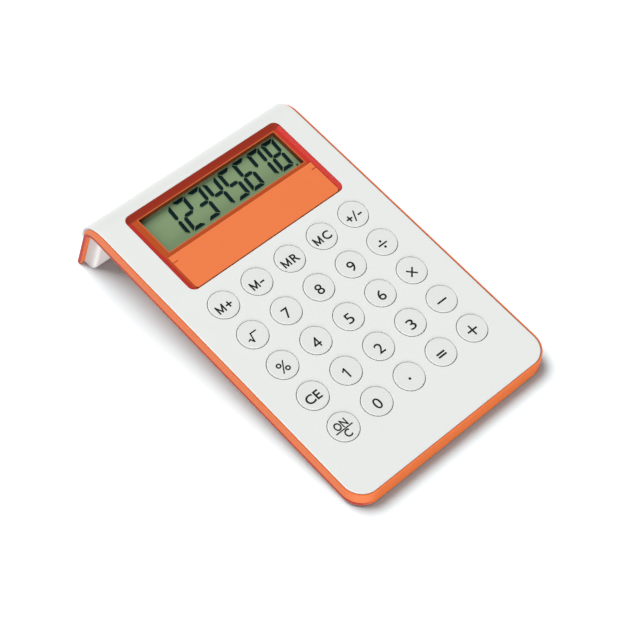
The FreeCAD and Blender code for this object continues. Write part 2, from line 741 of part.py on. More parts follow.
def contact_negative():
    """Strip under the cell, out to the first lead."""
    end = WIRE_X + WIRE_D - CELL_X
    strip = block(-CONTACT_W, end, -CONTACT_W / 2, CONTACT_W / 2, 0, CONTACT_WALL)
    return on_leg(strip, CELL_X, CELL_DOWN)


def contact_run():
    """Distance from the cell's centre, across and up, to the middle of the positive contact's foot."""
    reach = CELL_D / 2 + CONTACT_GAP + CONTACT_W / 2
    return reach * math.sin(math.radians(LEAF_TURN)), reach * math.cos(math.radians(LEAF_TURN))


def contact_positive():
    """Leaf on the cell's side, on a strip out to the second lead."""
    half = CONTACT_W / 2
    leaf_y = CELL_D / 2 + CONTACT_GAP
    end = WIRE_X + WIRE_PITCH + WIRE_D - CELL_X
    leaf = block(-half, half, leaf_y, leaf_y + CONTACT_WALL, 0, LEAF_H)
    foot = block(-half, half, leaf_y, leaf_y + CONTACT_W, 0, CONTACT_WALL)
    turned = leaf.fuse(foot).rotated(ORIGIN, Z_AXIS, -LEAF_TURN)
    across, up = contact_run()
    run = block(across, end, up - half, up + half, 0, CONTACT_WALL)
    return on_leg(turned.fuse(run).removeSplitter(), CELL_X, CELL_DOWN)


def lead(x, up):
    """Insulated lead from its contact strip, round the fold and on to the board."""
    level = BOARD_TOP + WIRE_GAP + WIRE_D / 2
    inside = LEG_WALL + CONTACT_WALL + WIRE_GAP + WIRE_D / 2
    start, middle, end = fold_arc(level, inside, WIRE_BEND_R)
    tip = leg_point(inside, CELL_DOWN - up + CONTACT_W / 2)
    points = [(board_rear() - WIRE_ON_BOARD, level), start, middle, end, tip]
    tail, start, middle, end, tip = [FreeCAD.Vector(x, y, z) for y, z in points]
    path = Part.Wire(
        [Part.makeLine(tail, start), Part.Arc(start, middle, end).toShape(), Part.makeLine(end, tip)]
    )
    circle = Part.Wire([Part.makeCircle(WIRE_D / 2, tail, FreeCAD.Vector(0, 1, 0))])
    solid = path.makePipeShell([circle], True, False)
    share = solid.Volume / (path.Length * math.pi * WIRE_D ** 2 / 4)
    print("lead at x", x, "bend radius", WIRE_BEND_R, "volume over section times length", round(share, 4))
    return solid


def display_bezel():
    """Translucent red frame: a sloped border, the display window and a pocket for the panel."""
    half = APERTURE_W / 2 - BEZEL_GAP
    rear = APERTURE_REAR - BEZEL_GAP
    front = APERTURE_FRONT + BEZEL_GAP
    body = aperture(BEZEL_GAP, BEZEL_FOOT, -BEZEL_SINK)
    flange_top = COVER_BACK - SEAM
    flange = block(
        -APERTURE_W / 2 - BEZEL_FLANGE,
        APERTURE_W / 2 + BEZEL_FLANGE,
        APERTURE_FRONT - BEZEL_FLANGE,
        APERTURE_REAR - APERTURE_R,
        flange_top - BEZEL_FLANGE_WALL,
        flange_top,
        APERTURE_R,
    )
    body = body.fuse(flange).removeSplitter()
    sole = -PANEL_SINK - PANEL_WALL
    ahead = APERTURE_FRONT - FRAME_WALL
    rim_x = half - BEZEL_LAND
    rim_y = rear - BEZEL_LAND
    rim_r = APERTURE_R - BEZEL_GAP - BEZEL_LAND
    foot_x = rim_x - BEZEL_SLOPE_W
    foot_y = rim_y - BEZEL_SLOPE_W
    foot_r = rim_r - BEZEL_SLOPE_W
    ledge = -BEZEL_SINK - BEZEL_SLOPE_DROP
    upper = rounded_wire(-rim_x, rim_x, ahead, rim_y, -BEZEL_SINK, [0, 0, rim_r, rim_r])
    lower = rounded_wire(-foot_x, foot_x, ahead, foot_y, ledge, [0, 0, foot_r, foot_r])
    sloped = Part.makeLoft([upper, lower], True, True)
    strip = PANEL_REAR + BEZEL_GAP + STRIP_EDGE
    edge_x = foot_x - LEDGE_EDGE
    edge_y = foot_y - LEDGE_EDGE
    window_left = WINDOW_SHIFT - WINDOW_W / 2
    window_right = WINDOW_SHIFT + WINDOW_W / 2
    brim = rounded_wire(-edge_x, edge_x, strip, edge_y, ledge, [0] * 4)
    sill_front = WINDOW_FRONT - WINDOW_LAND
    sill_rear = WINDOW_REAR + WINDOW_LAND
    sill_left = window_left - WINDOW_LAND
    sill_right = window_right + WINDOW_LAND
    sill = rounded_wire(sill_left, sill_right, sill_front, sill_rear, ledge - WINDOW_DROP, [0] * 4)
    inner_slope = Part.makeLoft([brim, sill], True, True)
    over = block(-rim_x, rim_x, ahead, APERTURE_FRONT + APERTURE_R, -BEZEL_SINK, 1)
    window = block(window_left, window_right, WINDOW_FRONT, WINDOW_REAR, BEZEL_FOOT - 1, 1, WINDOW_R)
    panel_half = PANEL_W / 2 + BEZEL_GAP
    pocket_front = front + BEZEL_FRONT_LIP
    pocket = block(-panel_half, panel_half, pocket_front, PANEL_REAR + BEZEL_GAP, sole, 1)
    under = block(
        -half - FRAME_WALL,
        half + FRAME_WALL,
        ahead - BEZEL_FLANGE,
        PANEL_REAR,
        BEZEL_FOOT - 1,
        sole - PANEL_FLOOR,
    )
    lip = block(-half, half, ahead - BEZEL_FLANGE, front, flange_top, 1)
    return body.cut([sloped, inner_slope, over, window, pocket, under, lip]).translated(DISPLAY_MIDDLE)


def display_panel():
    """Plain orange plate clipped in below the window, with a notch at each end."""
    half = PANEL_W / 2
    top = -PANEL_SINK
    front = APERTURE_FRONT + BEZEL_GAP + BEZEL_FRONT_LIP + PANEL_GAP
    wire = rounded_wire(-half, half, front, PANEL_REAR, top - PANEL_WALL, [PANEL_R, PANEL_R, 0, 0])
    plate = Part.Face(wire).extrude(FreeCAD.Vector(0, 0, PANEL_WALL))
    y = PANEL_REAR - NOTCH_BACK
    low = top - NOTCH_DEEP
    left = block(-half - 1, -half + NOTCH_L, y - NOTCH_W / 2, y + NOTCH_W / 2, low, 1)
    right = block(half - NOTCH_L, half + 1, y - NOTCH_W / 2, y + NOTCH_W / 2, low, 1)
    return plate.cut([left, right]).translated(DISPLAY_MIDDLE)


def display_layer(bottom, wall, margin, ledge=0.0):
    """One layer of the display, so far beyond the window on each side."""
    half = WINDOW_W / 2 + margin
    front = WINDOW_FRONT - margin - ledge
    rear = WINDOW_REAR + margin
    layer = block(WINDOW_SHIFT - half, WINDOW_SHIFT + half, front, rear, bottom, bottom + wall)
    return layer.translated(DISPLAY_MIDDLE)


def display_layers():
    rear_glass = BOARD_TOP - GLASS_WALL
    return {
        "lcd_reflector": display_layer(FLOOR, rear_glass - FLOOR, GLASS_MARGIN),
        "lcd_rear_glass": display_layer(rear_glass, GLASS_WALL, GLASS_MARGIN, GLASS_LEDGE),
        "lcd_front_glass": display_layer(BOARD_TOP, FRONT_GLASS_WALL, GLASS_MARGIN),
        "lcd_polariser": display_layer(FILM_TOP - FILM_WALL, FILM_WALL, GLASS_MARGIN / 2),
    }


def board_rear():
    return WINDOW_FRONT - GLASS_MARGIN - GLASS_LEDGE - BOARD_GLASS_GAP


def circuit_board():
    half = INNER_HALF - BOARD_MARGIN
    front = -FRONT_REACH + FRAME_WALL + BOARD_MARGIN
    board = block(-half, half, front, board_rear(), FLOOR, BOARD_TOP, BOARD_R)
    return board.cut(boss_holes(FLOOR - 1, BOARD_TOP + 1))


def display_ribbon():
    """Heat-seal film from the rear glass's ledge to the board."""
    rear = board_rear() + BOARD_GLASS_GAP + RIBBON_LAP
    front = board_rear() - RIBBON_LAP
    half = RIBBON_W / 2
    film = block(-half, half, front, rear, BOARD_TOP, BOARD_TOP + RIBBON_WALL)
    return film.translated(DISPLAY_MIDDLE)


def chip_blob():
    """Low dome of black resin over the chip."""
    radius = ((CHIP_D / 2) ** 2 + CHIP_RISE ** 2) / (2 * CHIP_RISE)
    y = KEY_REACH_Y + CHIP_BEHIND_KEYS
    centre = FreeCAD.Vector(CHIP_X, y, BOARD_TOP + CHIP_RISE - radius)
    ball = Part.makeSphere(radius, centre)
    reach = CHIP_D
    above = block(CHIP_X - reach, CHIP_X + reach, y - reach, y + reach, BOARD_TOP, 1)
    return ball.common(above)


def board_components():
    """Row of small surface-mounted parts beside the chip."""
    y = KEY_REACH_Y + CHIP_BEHIND_KEYS
    parts = []
    for index in range(CHIPLET_COUNT):
        x = CHIPLET_X + index * CHIPLET_PITCH
        half_l = CHIPLET_L / 2
        half_w = CHIPLET_W / 2
        parts.append(
            block(x - half_w, x + half_w, y - half_l, y + half_l, BOARD_TOP, BOARD_TOP + CHIPLET_H)
        )
    return Part.makeCompound(parts)


def key_mat():
    reach_x = KEY_REACH_X + MAT_MARGIN
    reach_y = KEY_REACH_Y + MAT_MARGIN
    mat = block(-reach_x, reach_x, -reach_y, reach_y, BOARD_TOP, MAT_TOP, MAT_MARGIN)
    return mat.cut(boss_holes(BOARD_TOP - 1, MAT_TOP + 1))


def key_domes():
    """Silicone domes that push the keys back up."""
    rise = KEY_BOTTOM - DOME_GAP - MAT_TOP
    domes = []
    for _, x, y in KEY_PLACES:
        foot = FreeCAD.Vector(x, y, MAT_TOP)
        domes.append(Part.makeCone(DOME_FOOT_D / 2, DOME_TOP_D / 2, rise, foot))
    return Part.makeCompound(domes)


def key():
    """Round key: a rounded cap on a flange that is trapped under the cover."""
    radius = KEY_D / 2
    flange = KEY_FLANGE_D / 2
    corner = KEY_EDGE_R * (1 - math.sqrt(0.5))

    def at(r, z):
        return FreeCAD.Vector(r, 0, z)

    rim = at(radius - KEY_EDGE_R, KEY_PROUD)
    shoulder = at(radius, KEY_PROUD - KEY_EDGE_R)
    outline = [
        at(radius, KEY_FLANGE_TOP),
        at(flange, KEY_FLANGE_TOP),
        at(flange, KEY_BOTTOM),
        at(0, KEY_BOTTOM),
        at(0, KEY_PROUD),
        rim,
    ]
    edges = [Part.makeLine(shoulder, outline[0])]
    for start, finish in zip(outline, outline[1:]):
        edges.append(Part.makeLine(start, finish))
    edges.append(Part.Arc(rim, at(radius - corner, KEY_PROUD - corner), shoulder).toShape())
    return Part.Face(Part.Wire(edges)).revolve(ORIGIN, Z_AXIS, 360)


def cover_screws():
    inner, side = boss_places()
    return Part.makeCompound(
        [screw().translated(FreeCAD.Vector(x, y, PLATE_BACK)) for x, y in inner + side]
    )


def leg_screws():
    turned = screw().rotated(ORIGIN, X_AXIS, 180).translated(FreeCAD.Vector(0, 0, HOUSING_DEPTH))
    return Part.makeCompound([on_leg(turned, x, down) for x, down in housing_screw_places()])


def pieces():
    """Every node's shape in the plate frame."""
    shapes = {
        "top_cover": top_cover(),
        "side_frame": side_frame(),
        "bottom_cover": bottom_cover(),
        "leg_housing": leg_housing(),
        "cell_door": cell_door(),
        "button_cell": button_cell(),
        "contact_positive": contact_positive(),
        "contact_negative": contact_negative(),
        "lead_negative": lead(WIRE_X, 0.0),
        "lead_positive": lead(WIRE_X + WIRE_PITCH, contact_run()[1]),
        "display_bezel": display_bezel(),
        "display_panel": display_panel(),
        "display_ribbon": display_ribbon(),
        "circuit_board": circuit_board(),
        "chip_blob": chip_blob(),
        "board_components": board_components(),
        "key_mat": key_mat(),
        "key_domes": key_domes(),
        "cover_screws": cover_screws(),
        "leg_screws": leg_screws(),
        "front_feet": front_feet(),
        "rear_feet": rear_feet(),
    }
    shapes.update(display_layers())
    for name, x, y in KEY_PLACES:
        shapes[name] = key().translated(FreeCAD.Vector(x, y, 0))
    return shapes


def place(shapes):
    """Tilt the pieces on to the table and put the origin under the middle of the whole."""
    tilted = {name: shape.rotated(ORIGIN, X_AXIS, TILT) for name, shape in shapes.items()}
    box = Part.makeCompound(list(tilted.values())).optimalBoundingBox()
    shift = FreeCAD.Vector(-(box.XMin + box.XMax) / 2, -(box.YMin + box.YMax) / 2, -TABLE)
    print("size", round(box.XLength, 3), round(box.YLength, 3), round(box.ZMax - TABLE, 3))
    print("key grid centre at", [round(v, 4) for v in shift])
    return {name: shape.translated(shift) for name, shape in tilted.items()}


def main():
    os.makedirs("parts", exist_ok=True)
    for name, shape in place(pieces()).items():
        print(name, len(shape.Solids), shape.isValid(), round(shape.Volume, 2))
        shape.exportStep("parts/" + name + ".step")


main()
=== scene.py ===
"""Desk calculator: finishes, domes, key legends, display figures and a studio round the packed model."""

import json
import math

import bpy
from bpy.props import FloatProperty, FloatVectorProperty, PointerProperty, StringProperty
from mathutils import Matrix, Vector

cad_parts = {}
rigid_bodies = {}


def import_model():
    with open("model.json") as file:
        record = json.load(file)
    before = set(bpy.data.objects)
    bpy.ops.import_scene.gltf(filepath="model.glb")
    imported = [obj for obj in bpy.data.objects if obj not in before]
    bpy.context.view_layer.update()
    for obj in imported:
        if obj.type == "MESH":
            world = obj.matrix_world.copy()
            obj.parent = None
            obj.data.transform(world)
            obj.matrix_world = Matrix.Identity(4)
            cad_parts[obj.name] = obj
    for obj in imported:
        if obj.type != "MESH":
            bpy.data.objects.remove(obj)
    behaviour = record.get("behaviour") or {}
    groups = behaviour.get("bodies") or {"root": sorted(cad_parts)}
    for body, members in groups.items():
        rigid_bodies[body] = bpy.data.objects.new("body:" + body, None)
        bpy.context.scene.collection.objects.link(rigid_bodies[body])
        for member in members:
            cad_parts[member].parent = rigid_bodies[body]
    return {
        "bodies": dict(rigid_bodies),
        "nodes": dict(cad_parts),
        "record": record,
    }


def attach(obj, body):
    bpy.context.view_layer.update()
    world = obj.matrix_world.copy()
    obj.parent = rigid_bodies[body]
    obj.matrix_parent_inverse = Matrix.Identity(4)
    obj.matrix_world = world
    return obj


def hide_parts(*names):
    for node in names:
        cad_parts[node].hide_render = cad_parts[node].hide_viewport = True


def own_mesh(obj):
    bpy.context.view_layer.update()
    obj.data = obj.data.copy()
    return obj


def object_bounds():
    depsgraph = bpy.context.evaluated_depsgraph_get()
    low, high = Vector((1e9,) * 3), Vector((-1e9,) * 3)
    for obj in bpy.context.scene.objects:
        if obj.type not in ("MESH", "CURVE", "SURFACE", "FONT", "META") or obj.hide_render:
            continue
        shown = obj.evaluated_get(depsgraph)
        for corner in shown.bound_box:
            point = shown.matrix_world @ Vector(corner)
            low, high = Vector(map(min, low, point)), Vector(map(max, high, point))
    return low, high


bl_info = {
    "name": "Desk calculator dressing",
    "version": (1, 0, 0),
    "blender": (4, 5, 0),
    "location": "View3D > Sidebar > Calculator",
    "description": "Finishes, domes, key legends, display figures and a studio for the desk calculator",
    "category": "Object",
}

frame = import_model()
CAD_BOX = [list(corner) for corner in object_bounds()]
MM = 0.001

# The keys' joints, which all have the same axis and travel
PRESS_JOINTS = [
    joint for joint in frame["record"]["behaviour"]["joints"] if joint["name"].startswith("press_")
]

# The plate's own axes: to the right, to the rear along the slope, and out of the keys
NORMAL = -Vector(PRESS_JOINTS[0]["axis"]).normalized()
RIGHT = Vector((1, 0, 0))
REAR = NORMAL.cross(RIGHT)
PLATE = Matrix((RIGHT, REAR, NORMAL)).transposed().to_4x4()


def plate_box(node):
    """Lowest and highest corner of a CAD node along the plate's own axes."""
    turn = PLATE.inverted()
    points = [turn @ vertex.co for vertex in frame["nodes"][node].data.vertices]
    low = Vector([min(point[axis] for point in points) for axis in range(3)])
    high = Vector([max(point[axis] for point in points) for axis in range(3)])
    return low, high


KEY_NODES = sorted(body for body in frame["bodies"] if body.startswith("key_"))
KEY_TOP = plate_box("key_5")[1].z
COVER_TOP = plate_box("top_cover")[1].z

# The middle of the key grid on the cover's face, which the camera is placed from
GRID_MIDDLE = sum(plate_box("key_5"), Vector()) / 2
GRID_MIDDLE.z = COVER_TOP
GRID = PLATE @ GRID_MIDDLE

# The display window: the film runs under its edges, and its edge is sunk below the cover's face
FILM_LAP = 0.85 * MM
LAND_DEPTH = 0.65 * MM
FILM_LOW, FILM_HIGH = plate_box("lcd_polariser")
WINDOW_LEFT = FILM_LOW.x + FILM_LAP
WINDOW_RIGHT = FILM_HIGH.x - FILM_LAP
WINDOW_FRONT = FILM_LOW.y + FILM_LAP
WINDOW_REAR = FILM_HIGH.y - FILM_LAP

# The frame's outline from above: straight sides and front with round corners
OUTLINE_RADIUS = 9.0 * MM
OUTLINE_HALF = CAD_BOX[1][0]
OUTLINE_FRONT = CAD_BOX[0][1]


# Sizes, colours and studio settings
def length(name, description, millimetres):
    return FloatProperty(name=name, description=description, default=millimetres * MM, unit="LENGTH")


def angle(name, description, degrees):
    return FloatProperty(name=name, description=description, default=math.radians(degrees), subtype="ANGLE")


def amount(name, description, value):
    return FloatProperty(name=name, description=description, default=value)


def colour(name, description, *channels):
    return FloatVectorProperty(name=name, description=description, default=channels, subtype="COLOR")


def direction(name, description, *components):
    return FloatVectorProperty(name=name, description=description, default=components, subtype="DIRECTION")


def position(name, description, *metres):
    return FloatVectorProperty(
        name=name, description=description, default=metres, subtype="TRANSLATION", unit="LENGTH"
    )


class CalculatorSizes(bpy.types.PropertyGroup):
    """Sizes of the legends, the display's figures, the window's lip and the domes."""

    digit_height: length("Key digits", "Height of a digit on a key", 4.35)
    letter_height: length("Key letters", "Height of the capitals on the letter keys", 3.6)
    percent_height: length("Percent sign", "Height of the percent sign", 4.6)
    stack_height: length("Stacked letters", "Height of the capitals above and below a line", 3.05)
    letter_weight: length("Letter weight", "Thickening of the letters' strokes, each side", 0.105)
    digit_weight: length("Digit weight", "Thickening of the digits' strokes, each side", 0.04)
    legend_left: length("Legend left", "Legends' middle to the left of their key's", 0.58)
    legend_front: length("Legend front", "Legends' middle to the front of their key's", 0.9)
    ink: length("Ink thickness", "Thickness of the printed ink", 0.04)
    figure_height: length("Display digit height", "Height of a digit on the display", 15.1)
    figure_width: length("Display digit width", "Width of a digit on the display", 6.3)
    figure_pitch: length("Display digit pitch", "Distance from one display digit to the next", 7.61)
    figure_stroke: length("Display segment", "Width of one segment of a digit", 1.6)
    figure_gap: length("Segment gap", "Gap between two segments of a digit", 0.35)
    figure_right: length("Figures' right edge", "Window's right edge to the last digit", 2.3)
    figure_foot: length("Figures' foot", "Window's front edge to the digits' feet", 2.6)
    figure_slant: angle("Slant", "Lean of the display digits", 5.0)
    point_size: length("Display point", "Side of the square point after the digits", 0.75)
    point_right: length("Point's place", "Last digit to the point", 0.4)
    point_drop: length("Point's drop", "Point's foot below the digits' feet", 1.1)
    shadow_shift: length("Figure shadow", "Offset of the faint shadow under each segment", 0.35)
    # The window lip is a painted highlight: a bright bead where the window's edge catches light
    lip_width: length("Window lip", "Width of the bright edge round the window", 0.32)
    lip_height: length("Window lip height", "Thickness of that edge", 0.12)
    lip_sink: length("Window lip sink", "How deep that edge sits in the bezel", 0.05)
    dome_foot: length("Dome foot", "Diameter of a dome at the mat", 7.0)
    dome_top: length("Dome top", "Diameter of a dome under its key", 4.2)
    dome_round: length("Dome rounding", "Rounding of a dome's upper edge", 0.15)
    dome_room: length("Dome room", "Gap between a pressed key and its flattened dome", 0.05)


class CalculatorColours(bpy.types.PropertyGroup):
    """Colours of the object, as they look in plain white light."""

    cover: colour("Cover", "White of the cover", 0.80, 0.815, 0.795)
    key: colour("Keys", "White of the keys", 0.765, 0.785, 0.768)
    # Painted light: a pinker, lighter white than the cover's, for the light and orange bounce on the
    # housing
    housing: colour("Housing", "White of the leg housing", 0.86, 0.80, 0.785)
    body: colour("Body", "Orange of the frame, base and leg", 0.94, 0.195, 0.036)
    # Painted shade: the dark red line where the frame meets the cover stands for the shade in that crease
    seam: colour("Seam", "Dark red where the frame meets the cover", 0.55, 0.10, 0.045)
    # Painted shade: the base's deep red edge stands for the shade on its sides and on the leg's ends, which
    # face away from the light
    base_edge: colour("Base edge", "Deep red of the base's outer edge", 0.53, 0.030, 0.014)
    panel: colour("Panel", "Orange of the plate below the display", 0.83, 0.195, 0.054)
    bezel: colour("Bezel", "Red of the display's frame", 0.58, 0.036, 0.026)
    # Painted shade: the bezel's rear strip, its ledge and the window's walls are darker and browner where
    # they stand in shade
    bezel_rear: colour("Bezel rear", "Crimson of the frame's rear strip", 0.31, 0.030, 0.014)
    bezel_ledge: colour("Bezel ledge", "Brown-red towards the window", 0.50, 0.084, 0.020)
    bezel_wall: colour("Bezel wall", "Brown of the window's walls", 0.16, 0.038, 0.012)
    # Painted highlight: the window lip's bright orange stands for light caught on the window's edge
    lip: colour("Window lip", "Bright edge of the window", 0.66, 0.14, 0.04)
    film: colour("Display film", "Green of the display's film", 0.22, 0.32, 0.17)
    figure: colour("Display figures", "Blue-black of the display's segments", 0.004, 0.016, 0.018)
    shadow: colour("Figure shadow", "Green of the shadow under the segments", 0.150, 0.235, 0.125)
    print: colour("Print", "Black of the key legends", 0.012, 0.012, 0.012)
    rubber: colour("Rubber", "Black of the feet", 0.03, 0.03, 0.032)
    zinc: colour("Zinc", "Grey of the screws", 0.62, 0.63, 0.65)
    glass: colour("Glass", "Tint of the display's glass", 0.9, 0.95, 0.92)
    foil: colour("Foil", "Grey of the display's reflector", 0.75, 0.77, 0.74)
    ribbon: colour("Ribbon", "Amber of the display's ribbon", 0.45, 0.26, 0.06)
    board: colour("Board", "Green of the circuit board", 0.02, 0.16, 0.05)
    resin: colour("Resin", "Black of the resin over the chip", 0.012, 0.012, 0.012)
    chip: colour("Components", "Black of the parts on the board", 0.02, 0.02, 0.022)
    silicone: colour("Silicone", "Grey of the mat and its domes", 0.55, 0.56, 0.56)
    cell: colour("Cell", "Grey of the cell's steel", 0.72, 0.72, 0.70)
    brass: colour("Brass", "Yellow of the contacts", 0.70, 0.55, 0.30)
    lead_positive: colour("Positive lead", "Red of the positive lead", 0.5, 0.02, 0.02)
    lead_negative: colour("Negative lead", "Black of the negative lead", 0.02, 0.02, 0.02)


class CalculatorStudio(bpy.types.PropertyGroup):
    """Light, floor and camera."""

    sun_strength: amount("Sun", "Strength of the main light", 2.44)
    sun_from: direction("Sun from", "Direction the main light comes from", -0.14, 0.535, 0.83)
    fill_strength: amount("Fill", "Strength of the light on the near sides", 4.2)
    fill_from: direction("Fill from", "Direction the fill light comes from", -0.56, -0.83, 0.0)
    under_strength: amount("Under light", "Strength of the light below", 0.9)
    under_from: direction("Under from", "Direction the light below comes from", -0.10, -0.15, -1.0)
    lamp_spread: angle("Softness", "Spread of the lamps", 46)
    sky_strength: amount("Sky", "Strength of the even light", 0.24)
    floor: colour("Floor", "Pale grey of the floor, as it lights the object", 0.318, 0.345, 0.352)
    floor_lift: amount("Floor lift", "Floor's gain where it is seen", 3.1)
    floor_size: length("Floor size", "Side of the square floor", 6000)
    camera_place: position("Camera", "Camera, from the key grid's middle", -0.29843, -0.29233, 0.52216)
    camera_aim: position("Aim", "Picture's middle, from the key grid's middle", -0.00944, 0.00986, 0.00162)
    camera_roll: angle("Roll", "Turn of the camera", 0.863)
    camera_lens: FloatProperty(name="Lens", description="Focal length", default=103.85, unit="CAMERA")
    camera_near: length("Nearest", "Nearest that the camera sees", 10)


# Modelling helpers
def deselect():
    if bpy.context.object and bpy.context.object.mode != "OBJECT":
        bpy.ops.object.mode_set(mode="OBJECT")
    bpy.ops.object.select_all(action="DESELECT")


def select(objects):
    deselect()
    for piece in objects:
        piece.select_set(True)
    bpy.context.view_layer.objects.active = objects[0]


def join(parts, name):
    """One object of several parts, named."""
    select(parts)
    if len(parts) > 1:
        bpy.ops.object.join()
    piece = bpy.context.object
    piece.name = name
    piece.data.name = name
    return piece


def settle(piece):
    """Write an object's place, turn and scale into its mesh."""
    select([piece])
    bpy.ops.object.transform_apply(location=True, rotation=True, scale=True)


def start_edit(piece, kind):
    """Select nothing on a piece, so that its edges or points can be selected in code."""
    select([piece])
    bpy.ops.object.mode_set(mode="EDIT")
    bpy.ops.mesh.select_mode(type=kind)
    bpy.ops.mesh.select_all(action="DESELECT")
    bpy.ops.object.mode_set(mode="OBJECT")


def select_points(piece, test):
    """Enter edit mode with the points that pass the test selected."""
    start_edit(piece, "VERT")
    for vertex in piece.data.vertices:
        vertex.select = test(vertex.co)
    bpy.ops.object.mode_set(mode="EDIT")


def bevel_edges(piece, test, width, segments=2):
    """Round the edges whose two ends pass the test."""
    start_edit(piece, "EDGE")
    for edge in piece.data.edges:
        ends = [piece.data.vertices[index].co for index in edge.vertices]
        edge.select = test(ends[0], ends[1])
    bpy.ops.object.mode_set(mode="EDIT")
    bpy.ops.mesh.bevel(offset=width, segments=segments, affect="EDGES")
    bpy.ops.object.mode_set(mode="OBJECT")


def face_outwards(piece):
    """Point all the faces of a closed piece outwards."""
    select([piece])
    bpy.ops.object.mode_set(mode="EDIT")
    bpy.ops.mesh.select_all(action="SELECT")
    bpy.ops.mesh.normals_make_consistent(inside=False)
    bpy.ops.object.mode_set(mode="OBJECT")


def thicken(piece, height):
    """Draw a flat piece out into a closed one."""
    select([piece])
    bpy.ops.object.mode_set(mode="EDIT")
    bpy.ops.mesh.select_all(action="SELECT")
    bpy.ops.mesh.extrude_region_move(TRANSFORM_OT_translate={"value": (0, 0, height)})
    bpy.ops.object.mode_set(mode="OBJECT")
    face_outwards(piece)


def copy_of(piece):
    """Copy with its own mesh, selected alone."""
    select([piece])
    bpy.ops.object.duplicate(linked=False)
    return bpy.context.object


def remove(pieces):
    select(pieces)
    bpy.ops.object.delete()


def dress(piece, material, body):
    """Give a finished piece its material and the body that carries it."""
    piece.data.materials.clear()
    piece.data.materials.append(material)
    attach(piece, body)


# Material helpers

# How far the roughness of a moulded plastic varies to either side
GLOSS_SPAN = 0.05


class Nodes:
    """Short ways to add to a node tree."""

    def __init__(self, tree):
        self.tree = tree

    def add(self, kind, **settings):
        node = self.tree.nodes.new(kind)
        for key, value in settings.items():
            setattr(node, key, value)
        return node

    def link(self, source, target):
        self.tree.links.new(source, target)

    def math(self, operation, first, second=0.0):
        """Arithmetic on two values, each a socket or a number."""
        node = self.add("ShaderNodeMath", operation=operation)
        for target, value in zip(node.inputs, (first, second)):
            if hasattr(value, "is_linked"):
                self.link(value, target)
            else:
                target.default_value = value
        return node.outputs["Value"]

    def seen_only(self, strength):
        """Strength where a surface is seen or mirrored, and nothing where it lights."""
        path = self.add("ShaderNodeLightPath")
        seen = path.outputs["Is Camera Ray"]
        for output in ("Is Glossy Ray", "Is Transmission Ray"):
            seen = self.math("MAXIMUM", seen, path.outputs[output])
        return self.math("MULTIPLY", seen, strength)


